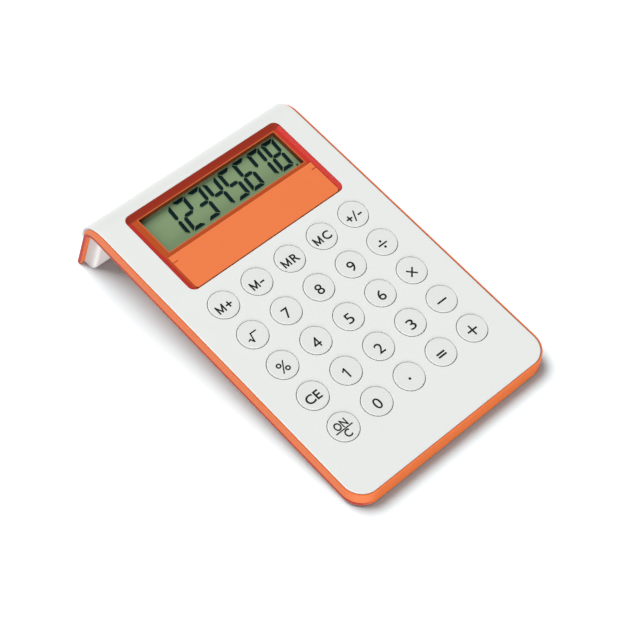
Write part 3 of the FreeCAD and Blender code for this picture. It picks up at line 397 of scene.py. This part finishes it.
class Finish(Nodes):
    """A new material with its shader and object coordinates in place."""

    def __init__(self, name):
        self.material = bpy.data.materials.new(name)
        self.material.use_nodes = True
        super().__init__(self.material.node_tree)
        self.shader = self.tree.nodes["Principled BSDF"]
        self.place = self.add("ShaderNodeTexCoord").outputs["Object"]

    def noise(self, grain, detail=2.0):
        """Noise whose features are about so many metres across."""
        node = self.add("ShaderNodeTexNoise")
        node.inputs["Scale"].default_value = 1.0 / grain
        node.inputs["Detail"].default_value = detail
        self.link(self.place, node.inputs["Vector"])
        return node.outputs["Fac"]

    def spread(self, value, low, high, start=0.3, stop=0.7):
        """Map a value's working range to another range."""
        node = self.add("ShaderNodeMapRange")
        node.inputs["From Min"].default_value = start
        node.inputs["From Max"].default_value = stop
        node.inputs["To Min"].default_value = low
        node.inputs["To Max"].default_value = high
        self.link(value, node.inputs["Value"])
        return node.outputs["Result"]

    def step(self, value, start, stop):
        """Nothing up to start, rising to one at stop."""
        return self.spread(value, 0.0, 1.0, start, stop)

    def blend(self, factor, first, second):
        node = self.add("ShaderNodeMix", data_type="RGBA")
        self.link(factor, node.inputs["Factor"])
        for socket, value in (("A", first), ("B", second)):
            target = next(s for s in node.inputs if s.name == socket and s.type == "RGBA")
            if hasattr(value, "is_linked"):
                self.link(value, target)
            else:
                target.default_value = (*value, 1.0)
        return next(s for s in node.outputs if s.type == "RGBA")

    def uneven(self, value, base, darker, lighter):
        """A colour that a value makes darker and lighter."""
        return self.blend(value, shade(base, darker), shade(base, lighter))

    def cloudy(self, base):
        """A plastic's colour, slightly cloudy."""
        return self.uneven(self.noise(18 * MM), base, darker=0.985, lighter=1.015)

    def paint(self, colour_socket):
        self.link(colour_socket, self.shader.inputs["Base Color"])

    def gloss(self, value, smooth, rough):
        """Roughness that a value varies."""
        self.link(self.spread(value, smooth, rough), self.shader.inputs["Roughness"])

    def texture(self, value, smooth, rough, relief):
        """Roughness and height of the surface that a value varies."""
        self.gloss(value, smooth, rough)
        node = self.add("ShaderNodeBump")
        node.inputs["Distance"].default_value = relief
        node.inputs["Strength"].default_value = 1.0
        self.link(value, node.inputs["Height"])
        self.link(node.outputs["Normal"], self.shader.inputs["Normal"])

    def sheen(self, level):
        self.shader.inputs["Specular IOR Level"].default_value = level

    def grain(self, roughness, size=0.35 * MM, relief=0.004 * MM, sheen=0.25):
        """Faint spark-eroded grain with uneven gloss."""
        fine = self.noise(size, detail=4.0)
        self.texture(fine, roughness - GLOSS_SPAN, roughness + GLOSS_SPAN, relief)
        self.sheen(sheen)

    def along(self, axis):
        """Distance of a point along a direction, from the row's origin."""
        node = self.add("ShaderNodeVectorMath", operation="DOT_PRODUCT")
        node.inputs[1].default_value = axis
        self.link(self.place, node.inputs[0])
        return node.outputs["Value"]

    def beside(self):
        """Distance of a point from the object's middle plane, to either side."""
        return self.math("ABSOLUTE", self.along(RIGHT))

    def inside_outline(self):
        """Distance of a point from the frame's outer wall, inwards."""
        aside = self.math("SUBTRACT", self.beside(), OUTLINE_HALF - OUTLINE_RADIUS)
        ahead = self.math("SUBTRACT", OUTLINE_FRONT + OUTLINE_RADIUS, self.along((0, 1, 0)))
        corner = self.add("ShaderNodeCombineXYZ")
        self.link(self.math("MAXIMUM", aside), corner.inputs["X"])
        self.link(self.math("MAXIMUM", ahead), corner.inputs["Y"])
        reach = self.add("ShaderNodeVectorMath", operation="LENGTH")
        self.link(corner.outputs["Vector"], reach.inputs[0])
        return self.math("SUBTRACT", OUTLINE_RADIUS, reach.outputs["Value"])


def shade(base, factor):
    return tuple(min(1.0, channel * factor) for channel in base)


def moulded_plastic(name, base, roughness, **grain):
    """Moulded plastic: a fine grain and slight cloudiness of the colour."""
    finish = Finish(name)
    finish.paint(finish.cloudy(base))
    finish.grain(roughness, **grain)
    return finish.material


# Where the shell's painted shade starts and ends: depths inside the frame's outer wall
SEAM_SHADE_START = 0.30 * MM
SEAM_SHADE_FULL = 0.45 * MM
EDGE_SHADE_FULL = 0.40 * MM
EDGE_SHADE_END = 0.60 * MM


def frame_plastic(name, base, seam):
    """Orange of the frame, with painted shade: a dark line in the crease where it meets the white cover."""
    finish = Finish(name)
    seam_shade_mask = finish.step(finish.inside_outline(), SEAM_SHADE_START, SEAM_SHADE_FULL)
    finish.paint(finish.blend(seam_shade_mask, finish.cloudy(base), seam))
    finish.grain(roughness=0.38)
    return finish.material


def base_plastic(name, base, edge):
    """Orange of the base, with painted shade: deep red along its sides, round the corners and on the leg's
    ends.
    """
    finish = Finish(name)
    shade_at_edge = finish.spread(finish.inside_outline(), 1.0, 0.0, EDGE_SHADE_FULL, EDGE_SHADE_END)
    shade_at_side = finish.step(finish.beside(), OUTLINE_HALF - OUTLINE_RADIUS, OUTLINE_HALF - OUTLINE_RADIUS / 3)
    # Painted shade, only along the sides and the leg's ends, not at the lit front
    dark = finish.math("MULTIPLY", shade_at_edge, shade_at_side)
    finish.paint(finish.blend(dark, finish.cloudy(base), edge))
    finish.grain(roughness=0.38, sheen=0.15)
    return finish.material


# Where the bezel's painted light and shade change: heights along the plate's normal, and places outside the
# window
WALL_END = COVER_TOP - 0.85 * MM
LEDGE_FULL = COVER_TOP - 0.68 * MM
LEDGE_END = COVER_TOP - 0.55 * MM
SLOPE_FULL = COVER_TOP - 0.48 * MM
REAR_SHADE_FULL = WINDOW_REAR + 0.8 * MM
RIGHT_LIGHT_START = WINDOW_RIGHT + 0.4 * MM
RIGHT_LIGHT_FULL = WINDOW_RIGHT + 0.9 * MM


def tinted_bezel(name, face, rear_shade, ledge, wall):
    """Tinted bezel: red on its outer slope, painted light making the right ledge as bright a red, painted
    shade darker along the rear and brown towards the window.
    """
    finish = Finish(name)
    rear = finish.step(finish.along(REAR), WINDOW_REAR, REAR_SHADE_FULL)
    right = finish.step(finish.along(RIGHT), RIGHT_LIGHT_START, RIGHT_LIGHT_FULL)
    # Painted light and shade: the rear in shade, the right ledge lit as brightly as the slope
    slope = finish.blend(rear, face, rear_shade)
    ledge = finish.blend(rear, finish.blend(right, ledge, face), rear_shade)
    height = finish.along(NORMAL)
    inner = finish.blend(finish.step(height, WALL_END, LEDGE_FULL), wall, ledge)
    finish.paint(finish.blend(finish.step(height, LEDGE_END, SLOPE_FULL), inner, slope))
    finish.texture(finish.noise(0.8 * MM), smooth=0.14, rough=0.20, relief=0.002 * MM)
    finish.sheen(0.06)
    return finish.material


def display_film(name, base):
    """Green polarising film: a little uneven, with a fine satin sheen."""
    finish = Finish(name)
    finish.paint(finish.uneven(finish.noise(9 * MM), base, darker=0.96, lighter=1.05))
    finish.texture(finish.noise(0.12 * MM), smooth=0.30, rough=0.40, relief=0.001 * MM)
    finish.sheen(0.1)
    return finish.material


def brushed_metal(name, base, roughness):
    """Plated or turned metal with fine marks."""
    finish = Finish(name)
    fine = finish.noise(0.2 * MM, detail=5.0)
    finish.paint(finish.uneven(fine, base, darker=0.9, lighter=1.0))
    finish.texture(fine, smooth=roughness, rough=roughness + 0.15, relief=0.003 * MM)
    finish.shader.inputs["Metallic"].default_value = 1.0
    return finish.material


def clear_glass(name, base):
    """Thin display glass with faint smears."""
    finish = Finish(name)
    finish.gloss(finish.noise(6 * MM), smooth=0.02, rough=0.06)
    finish.shader.inputs["Base Color"].default_value = (*base, 1.0)
    finish.shader.inputs["Transmission Weight"].default_value = 0.9
    finish.shader.inputs["IOR"].default_value = 1.5
    return finish.material


def board_laminate(name, base):
    """Green solder mask with the weave of the glass cloth under it."""
    finish = Finish(name)
    weave = finish.add("ShaderNodeTexWave", wave_type="BANDS", bands_direction="DIAGONAL")
    weave.inputs["Scale"].default_value = 900.0
    weave.inputs["Distortion"].default_value = 1.0
    finish.link(finish.place, weave.inputs["Vector"])
    threads = weave.outputs["Fac"]
    finish.paint(finish.uneven(threads, base, darker=0.85, lighter=1.15))
    finish.texture(threads, smooth=0.35, rough=0.45, relief=0.004 * MM)
    return finish.material


def coat(material, *nodes):
    """Put a material on CAD nodes."""
    for node in nodes:
        piece = frame["nodes"][node]
        piece.data.materials.clear()
        piece.data.materials.append(material)


# Operators
class CALCULATOR_OT_finish_shell(bpy.types.Operator):
    """Finish the covers, frame, housing, door, feet and screws"""

    bl_idname = "calculator.finish_shell"
    bl_label = "Finish shell"

    def execute(self, context):
        colours = context.scene.calculator_colours
        coat(moulded_plastic("white_cover", colours.cover, roughness=0.36), "top_cover")
        # The housing's white has painted light in it: pinker and lighter than the cover's
        coat(moulded_plastic("white_housing", colours.housing, roughness=0.42), "leg_housing", "cell_door")
        coat(frame_plastic("orange_frame", colours.body, colours.seam), "side_frame")
        coat(base_plastic("orange_base", colours.body, colours.base_edge), "bottom_cover")
        rubber = moulded_plastic(
            "black_rubber", colours.rubber, roughness=0.75, size=0.25 * MM, relief=0.01 * MM
        )
        coat(rubber, "front_feet", "rear_feet")
        coat(brushed_metal("zinc_screw", colours.zinc, roughness=0.28), "cover_screws", "leg_screws")
        return {"FINISHED"}


class CALCULATOR_OT_finish_keys(bpy.types.Operator):
    """Finish the keys"""

    bl_idname = "calculator.finish_keys"
    bl_label = "Finish keys"

    def execute(self, context):
        white = context.scene.calculator_colours.key
        coat(moulded_plastic("white_key", white, roughness=0.30, size=0.3 * MM), *KEY_NODES)
        return {"FINISHED"}


class CALCULATOR_OT_finish_display(bpy.types.Operator):
    """Finish the display's bezel, panel, film and glass"""

    bl_idname = "calculator.finish_display"
    bl_label = "Finish display"

    def execute(self, context):
        colours = context.scene.calculator_colours
        red = tinted_bezel(
            "red_bezel", colours.bezel, colours.bezel_rear, colours.bezel_ledge, colours.bezel_wall
        )
        coat(red, "display_bezel")
        coat(moulded_plastic("orange_panel", colours.panel, roughness=0.45), "display_panel")
        coat(display_film("green_film", colours.film), "lcd_polariser")
        coat(clear_glass("display_glass", colours.glass), "lcd_front_glass", "lcd_rear_glass")
        coat(brushed_metal("reflector_foil", colours.foil, roughness=0.4), "lcd_reflector")
        coat(moulded_plastic("amber_ribbon", colours.ribbon, roughness=0.35), "display_ribbon")
        return {"FINISHED"}


class CALCULATOR_OT_finish_inside(bpy.types.Operator):
    """Finish the board, mat, cell, contacts and leads"""

    bl_idname = "calculator.finish_inside"
    bl_label = "Finish inside"

    def execute(self, context):
        colours = context.scene.calculator_colours
        coat(board_laminate("green_board", colours.board), "circuit_board")
        coat(moulded_plastic("black_resin", colours.resin, roughness=0.22, size=1.5 * MM), "chip_blob")
        coat(moulded_plastic("black_chip", colours.chip, roughness=0.5), "board_components")
        coat(moulded_plastic("grey_silicone", colours.silicone, roughness=0.6), "key_mat")
        coat(brushed_metal("cell_steel", colours.cell, roughness=0.25), "button_cell")
        brass = brushed_metal("brass_contact", colours.brass, roughness=0.3)
        coat(brass, "contact_positive", "contact_negative")
        coat(moulded_plastic("red_lead", colours.lead_positive, roughness=0.45), "lead_positive")
        coat(moulded_plastic("black_lead", colours.lead_negative, roughness=0.45), "lead_negative")
        return {"FINISHED"}


class CALCULATOR_OT_add_domes(bpy.types.Operator):
    """Add the silicone domes, which the keys flatten on their way down; here they keep their shape"""

    bl_idname = "calculator.add_domes"
    bl_label = "Add domes"

    def model(self, sizes, rise):
        """One dome, its foot's middle at the origin."""
        deselect()
        bpy.ops.mesh.primitive_cone_add(
            vertices=40, radius1=sizes.dome_foot / 2, radius2=sizes.dome_top / 2, depth=rise,
            location=(0, 0, rise / 2),
        )
        dome = bpy.context.object
        settle(dome)
        bevel_edges(dome, lambda a, b: min(a.z, b.z) > rise / 2, sizes.dome_round, segments=3)
        bpy.ops.object.shade_smooth()
        return dome

    def execute(self, context):
        sizes = context.scene.calculator_sizes
        silicone = moulded_plastic("grey_dome", context.scene.calculator_colours.silicone, roughness=0.55)
        low, high = plate_box("key_domes")
        rise = high.z - low.z
        first = self.model(sizes, rise)
        for joint in PRESS_JOINTS:
            key_low, key_high = plate_box(joint["child"])
            foot = (key_low + key_high) / 2
            foot.z = low.z
            dome = copy_of(first)
            dome.name = "dome_" + joint["child"].removeprefix("key_")
            dome.data.transform(PLATE @ Matrix.Translation(foot))
            dress(dome, silicone, "case")
            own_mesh(dome)
            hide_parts("key_domes")
        remove([first])
        return {"FINISHED"}


# Built-in font: height of a capital for a text size of 1
CAPITAL = 0.69

# Rounding of printed bars, as a share of their width, and of printed dots, as a share of the ink
BAR_ROUND = 0.12
DOT_ROUND = 0.4


def add_words(text, height, weight, ink, x, y, width):
    """Lettering as a thin closed mesh, its middle at x, y, drawn out to a width where one is given."""
    deselect()
    bpy.ops.object.text_add()
    curve = bpy.context.object
    curve.data.body = text
    curve.data.size = height / CAPITAL
    curve.data.offset = weight
    curve.data.extrude = ink / 2
    bpy.ops.object.convert(target="MESH")
    piece = bpy.context.object
    low, high = Vector(piece.bound_box[0]), Vector(piece.bound_box[6])
    piece.location = -(low + high) / 2
    settle(piece)
    if width:
        piece.scale.x = width / (high.x - low.x)
    piece.location = (x, y, 0)
    settle(piece)
    return piece


def add_bar(long, wide, sizes, x=0.0, y=0.0, turn=0.0):
    """Straight printed stroke with slightly rounded corners."""
    deselect()
    bpy.ops.mesh.primitive_cube_add(size=1.0)
    piece = bpy.context.object
    piece.scale = (long, wide, sizes.ink)
    settle(piece)
    bevel_edges(piece, lambda a, b: abs(a.z - b.z) > sizes.ink / 2, wide * BAR_ROUND)
    piece.location = (x, y, 0)
    piece.rotation_euler.z = turn
    settle(piece)
    return piece


def add_dot(across, sizes, x=0.0, y=0.0):
    """Round printed dot with a soft rim."""
    deselect()
    bpy.ops.mesh.primitive_cylinder_add(vertices=32, radius=across / 2, depth=sizes.ink, location=(x, y, 0))
    piece = bpy.context.object
    settle(piece)
    bevel_edges(piece, lambda a, b: min(a.z, b.z) > 0, sizes.ink * DOT_ROUND, segments=1)
    return piece


def words(text, kind, width=0.0, x=0.0, y=0.0):
    """Legend of one word in millimetres, its height and weight taken from the sizes."""
    weight = "letter_weight" if kind in ("letter_height", "stack_height") else "digit_weight"
    return lambda sizes: [
        add_words(text, getattr(sizes, kind), getattr(sizes, weight), sizes.ink, x * MM, y * MM, width * MM)
    ]


def bars(wide, *places):
    """Legend of straight bars, each (length, x, y, turn) in millimetres and degrees."""
    return lambda sizes: [
        add_bar(long * MM, wide * MM, sizes, x * MM, y * MM, math.radians(turn))
        for long, x, y, turn in places
    ]


def line(wide, *corners):
    """Legend drawn as one line through corners, in millimetres."""
    def make(sizes):
        parts = []
        for start, stop in zip(corners, corners[1:]):
            step = Vector(stop) - Vector(start)
            middle = (Vector(start) + Vector(stop)) / 2 * MM
            turn = math.atan2(step.y, step.x)
            parts.append(add_bar((step.length + wide) * MM, wide * MM, sizes, middle.x, middle.y, turn))
        return parts
    return make


def together(*makers):
    """Legend put together from several."""
    return lambda sizes: [part for make in makers for part in make(sizes)]


def dots(across, *places):
    """Legend of round dots, each (x, y) in millimetres."""
    return lambda sizes: [add_dot(across * MM, sizes, x * MM, y * MM) for x, y in places]


def letter_m(x):
    """M drawn as one line, its middle at x."""
    return line(0.65, (x - 1.4, -1.5), (x - 1.4, 1.5), (x, -1.35), (x + 1.4, 1.5), (x + 1.4, -1.5))


# The legend of each key, its middle at the legend's place on the key
LEGENDS = {
    "key_m_plus": together(letter_m(-1.65), bars(0.68, (2.7, 2.15, -0.1, 0), (2.7, 2.15, -0.1, 90))),
    "key_m_minus": together(letter_m(-1.45), bars(0.66, (2.1, 1.95, -0.35, 0))),
    "key_mr": together(letter_m(-2.1), words("R", "letter_height", 3.2, x=2.15)),
    "key_mc": together(letter_m(-2.3), words("C", "letter_height", 3.5, x=2.15)),
    "key_sign": together(
        bars(0.7, (2.8, -2.3, 0, 0), (2.8, -2.3, 0, 90), (2.1, 2.6, -0.5, 0)),
        bars(0.6, (5.0, 0.3, -0.1, 64.5)),
    ),
    "key_root": line(0.55, (-2.5, -0.5), (-1.75, -0.2), (-1.0, -1.8), (-0.1, 1.7), (2.4, 1.7)),
    "key_divide": together(bars(0.68, (4.3, -0.1, 0, 0)), dots(1.1, (-0.1, -1.5), (-0.1, 1.5))),
    "key_percent": words("%", "percent_height", 4.5),
    "key_multiply": bars(0.68, (4.6, -0.15, 0.15, 45), (4.6, -0.15, 0.15, -45)),
    "key_ce": words("CE", "letter_height", 6.6, y=0.15),
    "key_minus": bars(0.7, (4.7, -0.15, 0.15, 0)),
    "key_on_c": together(
        words("ON", "stack_height", 5.7, y=2.1),
        bars(0.5, (8.1, 0.05, 0.0, 0)),
        words("C", "stack_height", 2.7, y=-2.05),
    ),
    "key_point": dots(1.1, (-0.1, 0)),
    "key_equals": bars(0.75, (4.0, -0.15, 0.63, 0), (4.0, -0.15, -0.63, 0)),
    "key_plus": bars(0.72, (4.7, -0.2, 0.15, 0), (4.7, -0.2, 0.15, 90)),
    "key_1": together(bars(0.7, (4.45, 0.1, 0, 90)), line(0.6, (-1.0, 1.1), (0.0, 1.9))),
    "key_4": line(0.64, (0.65, -1.9), (0.65, 1.9), (-1.4, -0.8), (1.35, -0.8)),
}
for number in (0, 2, 3, 5, 6, 7, 8, 9):
    LEGENDS[f"key_{number}"] = words(str(number), "digit_height", 3.1)


class CALCULATOR_OT_add_legends(bpy.types.Operator):
    """Print the numbers and signs on the keys"""

    bl_idname = "calculator.add_legends"
    bl_label = "Add legends"

    def execute(self, context):
        sizes = context.scene.calculator_sizes
        colours = context.scene.calculator_colours
        ink = moulded_plastic("black_print", colours.print, roughness=0.5, sheen=0.1)
        for node, make in LEGENDS.items():
            piece = join(make(sizes), node.replace("key_", "legend_"))
            low, high = plate_box(node)
            middle = (low + high) / 2
            x, y = middle.x - sizes.legend_left, middle.y - sizes.legend_front
            piece.data.transform(PLATE @ Matrix.Translation((x, y, KEY_TOP)))
            dress(piece, ink, node)
        return {"FINISHED"}


# Segments of a display digit: a on top, then round to f, and g across the middle
DIGIT_SEGMENTS = {
    "1": "bc", "2": "abged", "3": "abgcd", "4": "fgbc",
    "5": "afgcd", "6": "afgedc", "7": "fabc", "8": "abcdefg",
}

# Corners cut off a segment, as shares of its width: a mitred end's tip, and both sides of a pointed end
TIP_CUT = 0.3
POINT_CUT = 0.45

# Heights of the figures and of their shadow above the film, in thicknesses of the ink
FIGURE_LIFT = 1.5
SHADOW_LIFT = 0.5


def add_segment(long, wide, thick, start, stop):
    """Flat bar along x, each end mitred on the side that faces the digit's middle, or drawn to a point."""
    deselect()
    bpy.ops.mesh.primitive_plane_add(size=1.0)
    piece = bpy.context.object
    piece.scale = (long, wide, 1)
    settle(piece)
    for side, end in ((-1, start), (1, stop)):
        if end == "mitre":
            select_points(piece, lambda point: point.x * side > 0 and point.y < 0)
            bpy.ops.transform.translate(value=(-side * wide, 0, 0))
            bpy.ops.object.mode_set(mode="OBJECT")
            select_points(piece, lambda point: point.x * side > 0 and point.y > 0)
            bpy.ops.mesh.bevel(offset=wide * TIP_CUT, segments=1, affect="VERTICES")
        else:
            select_points(piece, lambda point: point.x * side > 0)
            bpy.ops.mesh.bevel(offset=wide * POINT_CUT, segments=1, affect="VERTICES")
        bpy.ops.object.mode_set(mode="OBJECT")
    thicken(piece, thick)
    return piece


def place_segment(segment, x, y, turn, flip):
    """Copy of a segment, turned and placed, and mirrored along its length where asked."""
    twin = copy_of(segment)
    if flip:
        twin.scale.x = -1
        settle(twin)
        face_outwards(twin)
    twin.rotation_euler.z = math.radians(turn)
    twin.location = (x, y, 0)
    settle(twin)
    return twin


def add_figures(text, sizes):
    """The digits of a number, right-aligned at x = 0 with their feet at y = 0, upright."""
    wide, tall, stroke = sizes.figure_width, sizes.figure_height, sizes.figure_stroke
    cut = sizes.figure_gap / math.sqrt(2)
    edge = add_segment(wide - 2 * cut, stroke, sizes.ink, "mitre", "mitre")
    across = add_segment(wide - stroke - 2 * cut, stroke, sizes.ink, "point", "point")
    upright = add_segment(tall / 2 - 2 * cut, stroke, sizes.ink, "point", "mitre")
    right = (wide - stroke) / 2
    lower, upper = tall * 0.25, tall * 0.75
    places = {
        "a": (edge, 0, tall - stroke / 2, 0, False),
        "g": (across, 0, tall / 2, 0, False),
        "d": (edge, 0, stroke / 2, 180, False),
        "b": (upright, right, upper, -90, True),
        "c": (upright, right, lower, -90, False),
        "f": (upright, -right, upper, 90, False),
        "e": (upright, -right, lower, 90, True),
    }
    parts = []
    for index, character in enumerate(reversed(text)):
        middle = -wide / 2 - index * sizes.figure_pitch
        for segment in DIGIT_SEGMENTS[character]:
            bar, x, y, turn, flip = places[segment]
            parts.append(place_segment(bar, middle + x, y, turn, flip))
    side = sizes.point_size
    point = add_bar(side, side, sizes, sizes.point_right + side / 2, side / 2 - sizes.point_drop)
    remove([edge, across, upright])
    return parts + [point]


class CALCULATOR_OT_add_figures(bpy.types.Operator):
    """Show a number on the display, with the faint shadow under its segments"""

    bl_idname = "calculator.add_figures"
    bl_label = "Add figures"
    number: StringProperty(name="Number", description="Digits shown", default="12345678")

    def execute(self, context):
        sizes = context.scene.calculator_sizes
        colours = context.scene.calculator_colours
        slant = Matrix.Identity(4)
        slant[0][1] = math.tan(sizes.figure_slant)
        layers = {
            "display_figures": (colours.figure, 0.0, sizes.ink * FIGURE_LIFT),
            "display_shadows": (colours.shadow, sizes.shadow_shift, sizes.ink * SHADOW_LIFT),
        }
        for name, (tint, shift, lift) in layers.items():
            piece = join(add_figures(self.number, sizes), name)
            x = WINDOW_RIGHT - sizes.figure_right - shift
            y = WINDOW_FRONT + sizes.figure_foot - shift
            place = Matrix.Translation((x, y, FILM_HIGH.z + lift - sizes.ink / 2))
            piece.data.transform(PLATE @ place @ slant)
            ink = moulded_plastic(name + "_ink", tint, roughness=0.5, sheen=0.03)
            dress(piece, ink, "case")
        return {"FINISHED"}


# Rounding of the window's lip, as a share of the lesser of its width and thickness
LIP_ROUND = 0.45


class CALCULATOR_OT_add_window_lip(bpy.types.Operator):
    """Lay the bright bead round the display window, a painted highlight on its edge"""

    bl_idname = "calculator.add_window_lip"
    bl_label = "Add window lip"

    def execute(self, context):
        sizes = context.scene.calculator_sizes
        wide, high = sizes.lip_width, sizes.lip_height
        deselect()
        bpy.ops.mesh.primitive_plane_add(size=1.0)
        piece = context.object
        piece.name = "window_lip"
        piece.scale = (WINDOW_RIGHT - WINDOW_LEFT + 2 * wide, WINDOW_REAR - WINDOW_FRONT + 2 * wide, 1)
        settle(piece)
        bpy.ops.object.mode_set(mode="EDIT")
        bpy.ops.mesh.select_all(action="SELECT")
        bpy.ops.mesh.inset(thickness=wide)
        bpy.ops.mesh.delete(type="FACE")
        thicken(piece, high)
        bevel_edges(piece, lambda a, b: min(a.z, b.z) > high / 2, min(wide, high) * LIP_ROUND, segments=3)
        middle = ((WINDOW_LEFT + WINDOW_RIGHT) / 2, (WINDOW_FRONT + WINDOW_REAR) / 2)
        place = Matrix.Translation((*middle, COVER_TOP - LAND_DEPTH - sizes.lip_sink))
        piece.data.transform(PLATE @ place)
        # Bright orange as a painted highlight
        lip = moulded_plastic("orange_lip", context.scene.calculator_colours.lip, roughness=0.3, sheen=0.2)
        dress(piece, lip, "case")
        return {"FINISHED"}


class CALCULATOR_OT_set_stage(bpy.types.Operator):
    """Set the floor, lights, sky and camera"""

    bl_idname = "calculator.set_stage"
    bl_label = "Set stage"

    def floor(self, studio):
        """Pale floor, white where it is lit, with the object's shadow, and clear from below."""
        deselect()
        bpy.ops.mesh.primitive_plane_add(size=studio.floor_size)
        plane = bpy.context.object
        plane.name = "floor"
        material = bpy.data.materials.new("pale_floor")
        material.use_nodes = True
        nodes = Nodes(material.node_tree)
        nodes.tree.nodes.clear()
        matte = nodes.add("ShaderNodeBsdfDiffuse")
        matte.inputs["Color"].default_value = (*studio.floor, 1.0)
        lifted = nodes.add("ShaderNodeVectorMath", operation="SCALE")
        lifted.inputs[0].default_value = studio.floor
        nodes.link(nodes.seen_only(studio.floor_lift), lifted.inputs["Scale"])
        bright = nodes.add("ShaderNodeBsdfDiffuse")
        nodes.link(lifted.outputs[0], bright.inputs["Color"])
        both = nodes.add("ShaderNodeAddShader")
        nodes.link(matte.outputs[0], both.inputs[0])
        nodes.link(bright.outputs[0], both.inputs[1])
        pick = nodes.add("ShaderNodeMixShader")
        nodes.link(nodes.add("ShaderNodeNewGeometry").outputs["Backfacing"], pick.inputs[0])
        nodes.link(both.outputs[0], pick.inputs[1])
        nodes.link(nodes.add("ShaderNodeBsdfTransparent").outputs[0], pick.inputs[2])
        nodes.link(pick.outputs[0], nodes.add("ShaderNodeOutputMaterial").inputs["Surface"])
        plane.data.materials.append(material)
        return plane

    def sky(self, scene, studio):
        """Even white sky, weak where it lights and plain white where it is seen."""
        scene.world = bpy.data.worlds.new("studio_sky")
        scene.world.use_nodes = True
        nodes = Nodes(scene.world.node_tree)
        background = nodes.tree.nodes["Background"]
        background.inputs["Color"].default_value = (1, 1, 1, 1)
        seen = nodes.seen_only(1.0 - studio.sky_strength)
        nodes.link(nodes.math("ADD", seen, studio.sky_strength), background.inputs["Strength"])

    def light(self, name, strength, spread, source):
        """Wide sun lamp that shines from a direction."""
        deselect()
        bpy.ops.object.light_add(type="SUN")
        lamp = bpy.context.object
        lamp.name = name
        lamp.data.energy = strength
        lamp.data.angle = spread
        lamp.rotation_euler = (-Vector(source)).to_track_quat("-Z", "Y").to_euler()
        return lamp

    def keep_off(self, lamp, plane, through=False):
        """Keep a lamp's light off the floor, direct or bounced, and let it through where asked."""
        lamp.data.cycles.max_bounces = 0
        unlit = bpy.data.collections.new("unlit_by_" + lamp.name)
        unlit.objects.link(plane)
        unlit.collection_objects[0].light_linking.link_state = "EXCLUDE"
        lamp.light_linking.receiver_collection = unlit
        if through:
            lamp.light_linking.blocker_collection = unlit

    def execute(self, context):
        scene = context.scene
        studio = scene.calculator_studio
        plane = self.floor(studio)
        self.sky(scene, studio)
        self.light("main_light", studio.sun_strength, studio.lamp_spread, studio.sun_from)
        fill = self.light("fill_light", studio.fill_strength, studio.lamp_spread, studio.fill_from)
        self.keep_off(fill, plane)
        under = self.light("under_light", studio.under_strength, studio.lamp_spread, studio.under_from)
        self.keep_off(under, plane, through=True)
        deselect()
        bpy.ops.object.camera_add(location=GRID + Vector(studio.camera_place))
        camera = context.object
        aim = Vector(studio.camera_aim) - Vector(studio.camera_place)
        turn = aim.to_track_quat("-Z", "Y").to_matrix() @ Matrix.Rotation(studio.camera_roll, 3, "Z")
        camera.rotation_euler = turn.to_euler()
        camera.data.lens = studio.camera_lens
        camera.data.clip_start = studio.camera_near
        scene.camera = camera
        scene.view_settings.view_transform = "Standard"
        return {"FINISHED"}


class CALCULATOR_PT_panel(bpy.types.Panel):
    """Lists the steps that dress the calculator."""

    bl_label = "Calculator"
    bl_idname = "CALCULATOR_PT_panel"
    bl_space_type = "VIEW_3D"
    bl_region_type = "UI"
    bl_category = "Calculator"

    def draw(self, context):
        for operator in OPERATORS:
            self.layout.operator(operator.bl_idname)
        for group, attribute in GROUPS.items():
            box = self.layout.box()
            box.label(text=group.__doc__)
            for name in group.__annotations__:
                box.prop(getattr(context.scene, attribute), name)


GROUPS = {
    CalculatorSizes: "calculator_sizes",
    CalculatorColours: "calculator_colours",
    CalculatorStudio: "calculator_studio",
}
OPERATORS = (
    CALCULATOR_OT_finish_shell,
    CALCULATOR_OT_finish_keys,
    CALCULATOR_OT_finish_display,
    CALCULATOR_OT_finish_inside,
    CALCULATOR_OT_add_domes,
    CALCULATOR_OT_add_legends,
    CALCULATOR_OT_add_figures,
    CALCULATOR_OT_add_window_lip,
    CALCULATOR_OT_set_stage,
)


def register():
    for group, name in GROUPS.items():
        bpy.utils.register_class(group)
        setattr(bpy.types.Scene, name, PointerProperty(type=group))
    for operator in OPERATORS:
        bpy.utils.register_class(operator)
    bpy.utils.register_class(CALCULATOR_PT_panel)


def unregister():
    bpy.utils.unregister_class(CALCULATOR_PT_panel)
    for operator in reversed(OPERATORS):
        bpy.utils.unregister_class(operator)
    for group, name in GROUPS.items():
        delattr(bpy.types.Scene, name)
        bpy.utils.unregister_class(group)


def main():
    register()
    for step in OPERATORS:
        family, action = step.bl_idname.split(".")
        getattr(getattr(bpy.ops, family), action)()


if __name__ == "__main__":
    main()
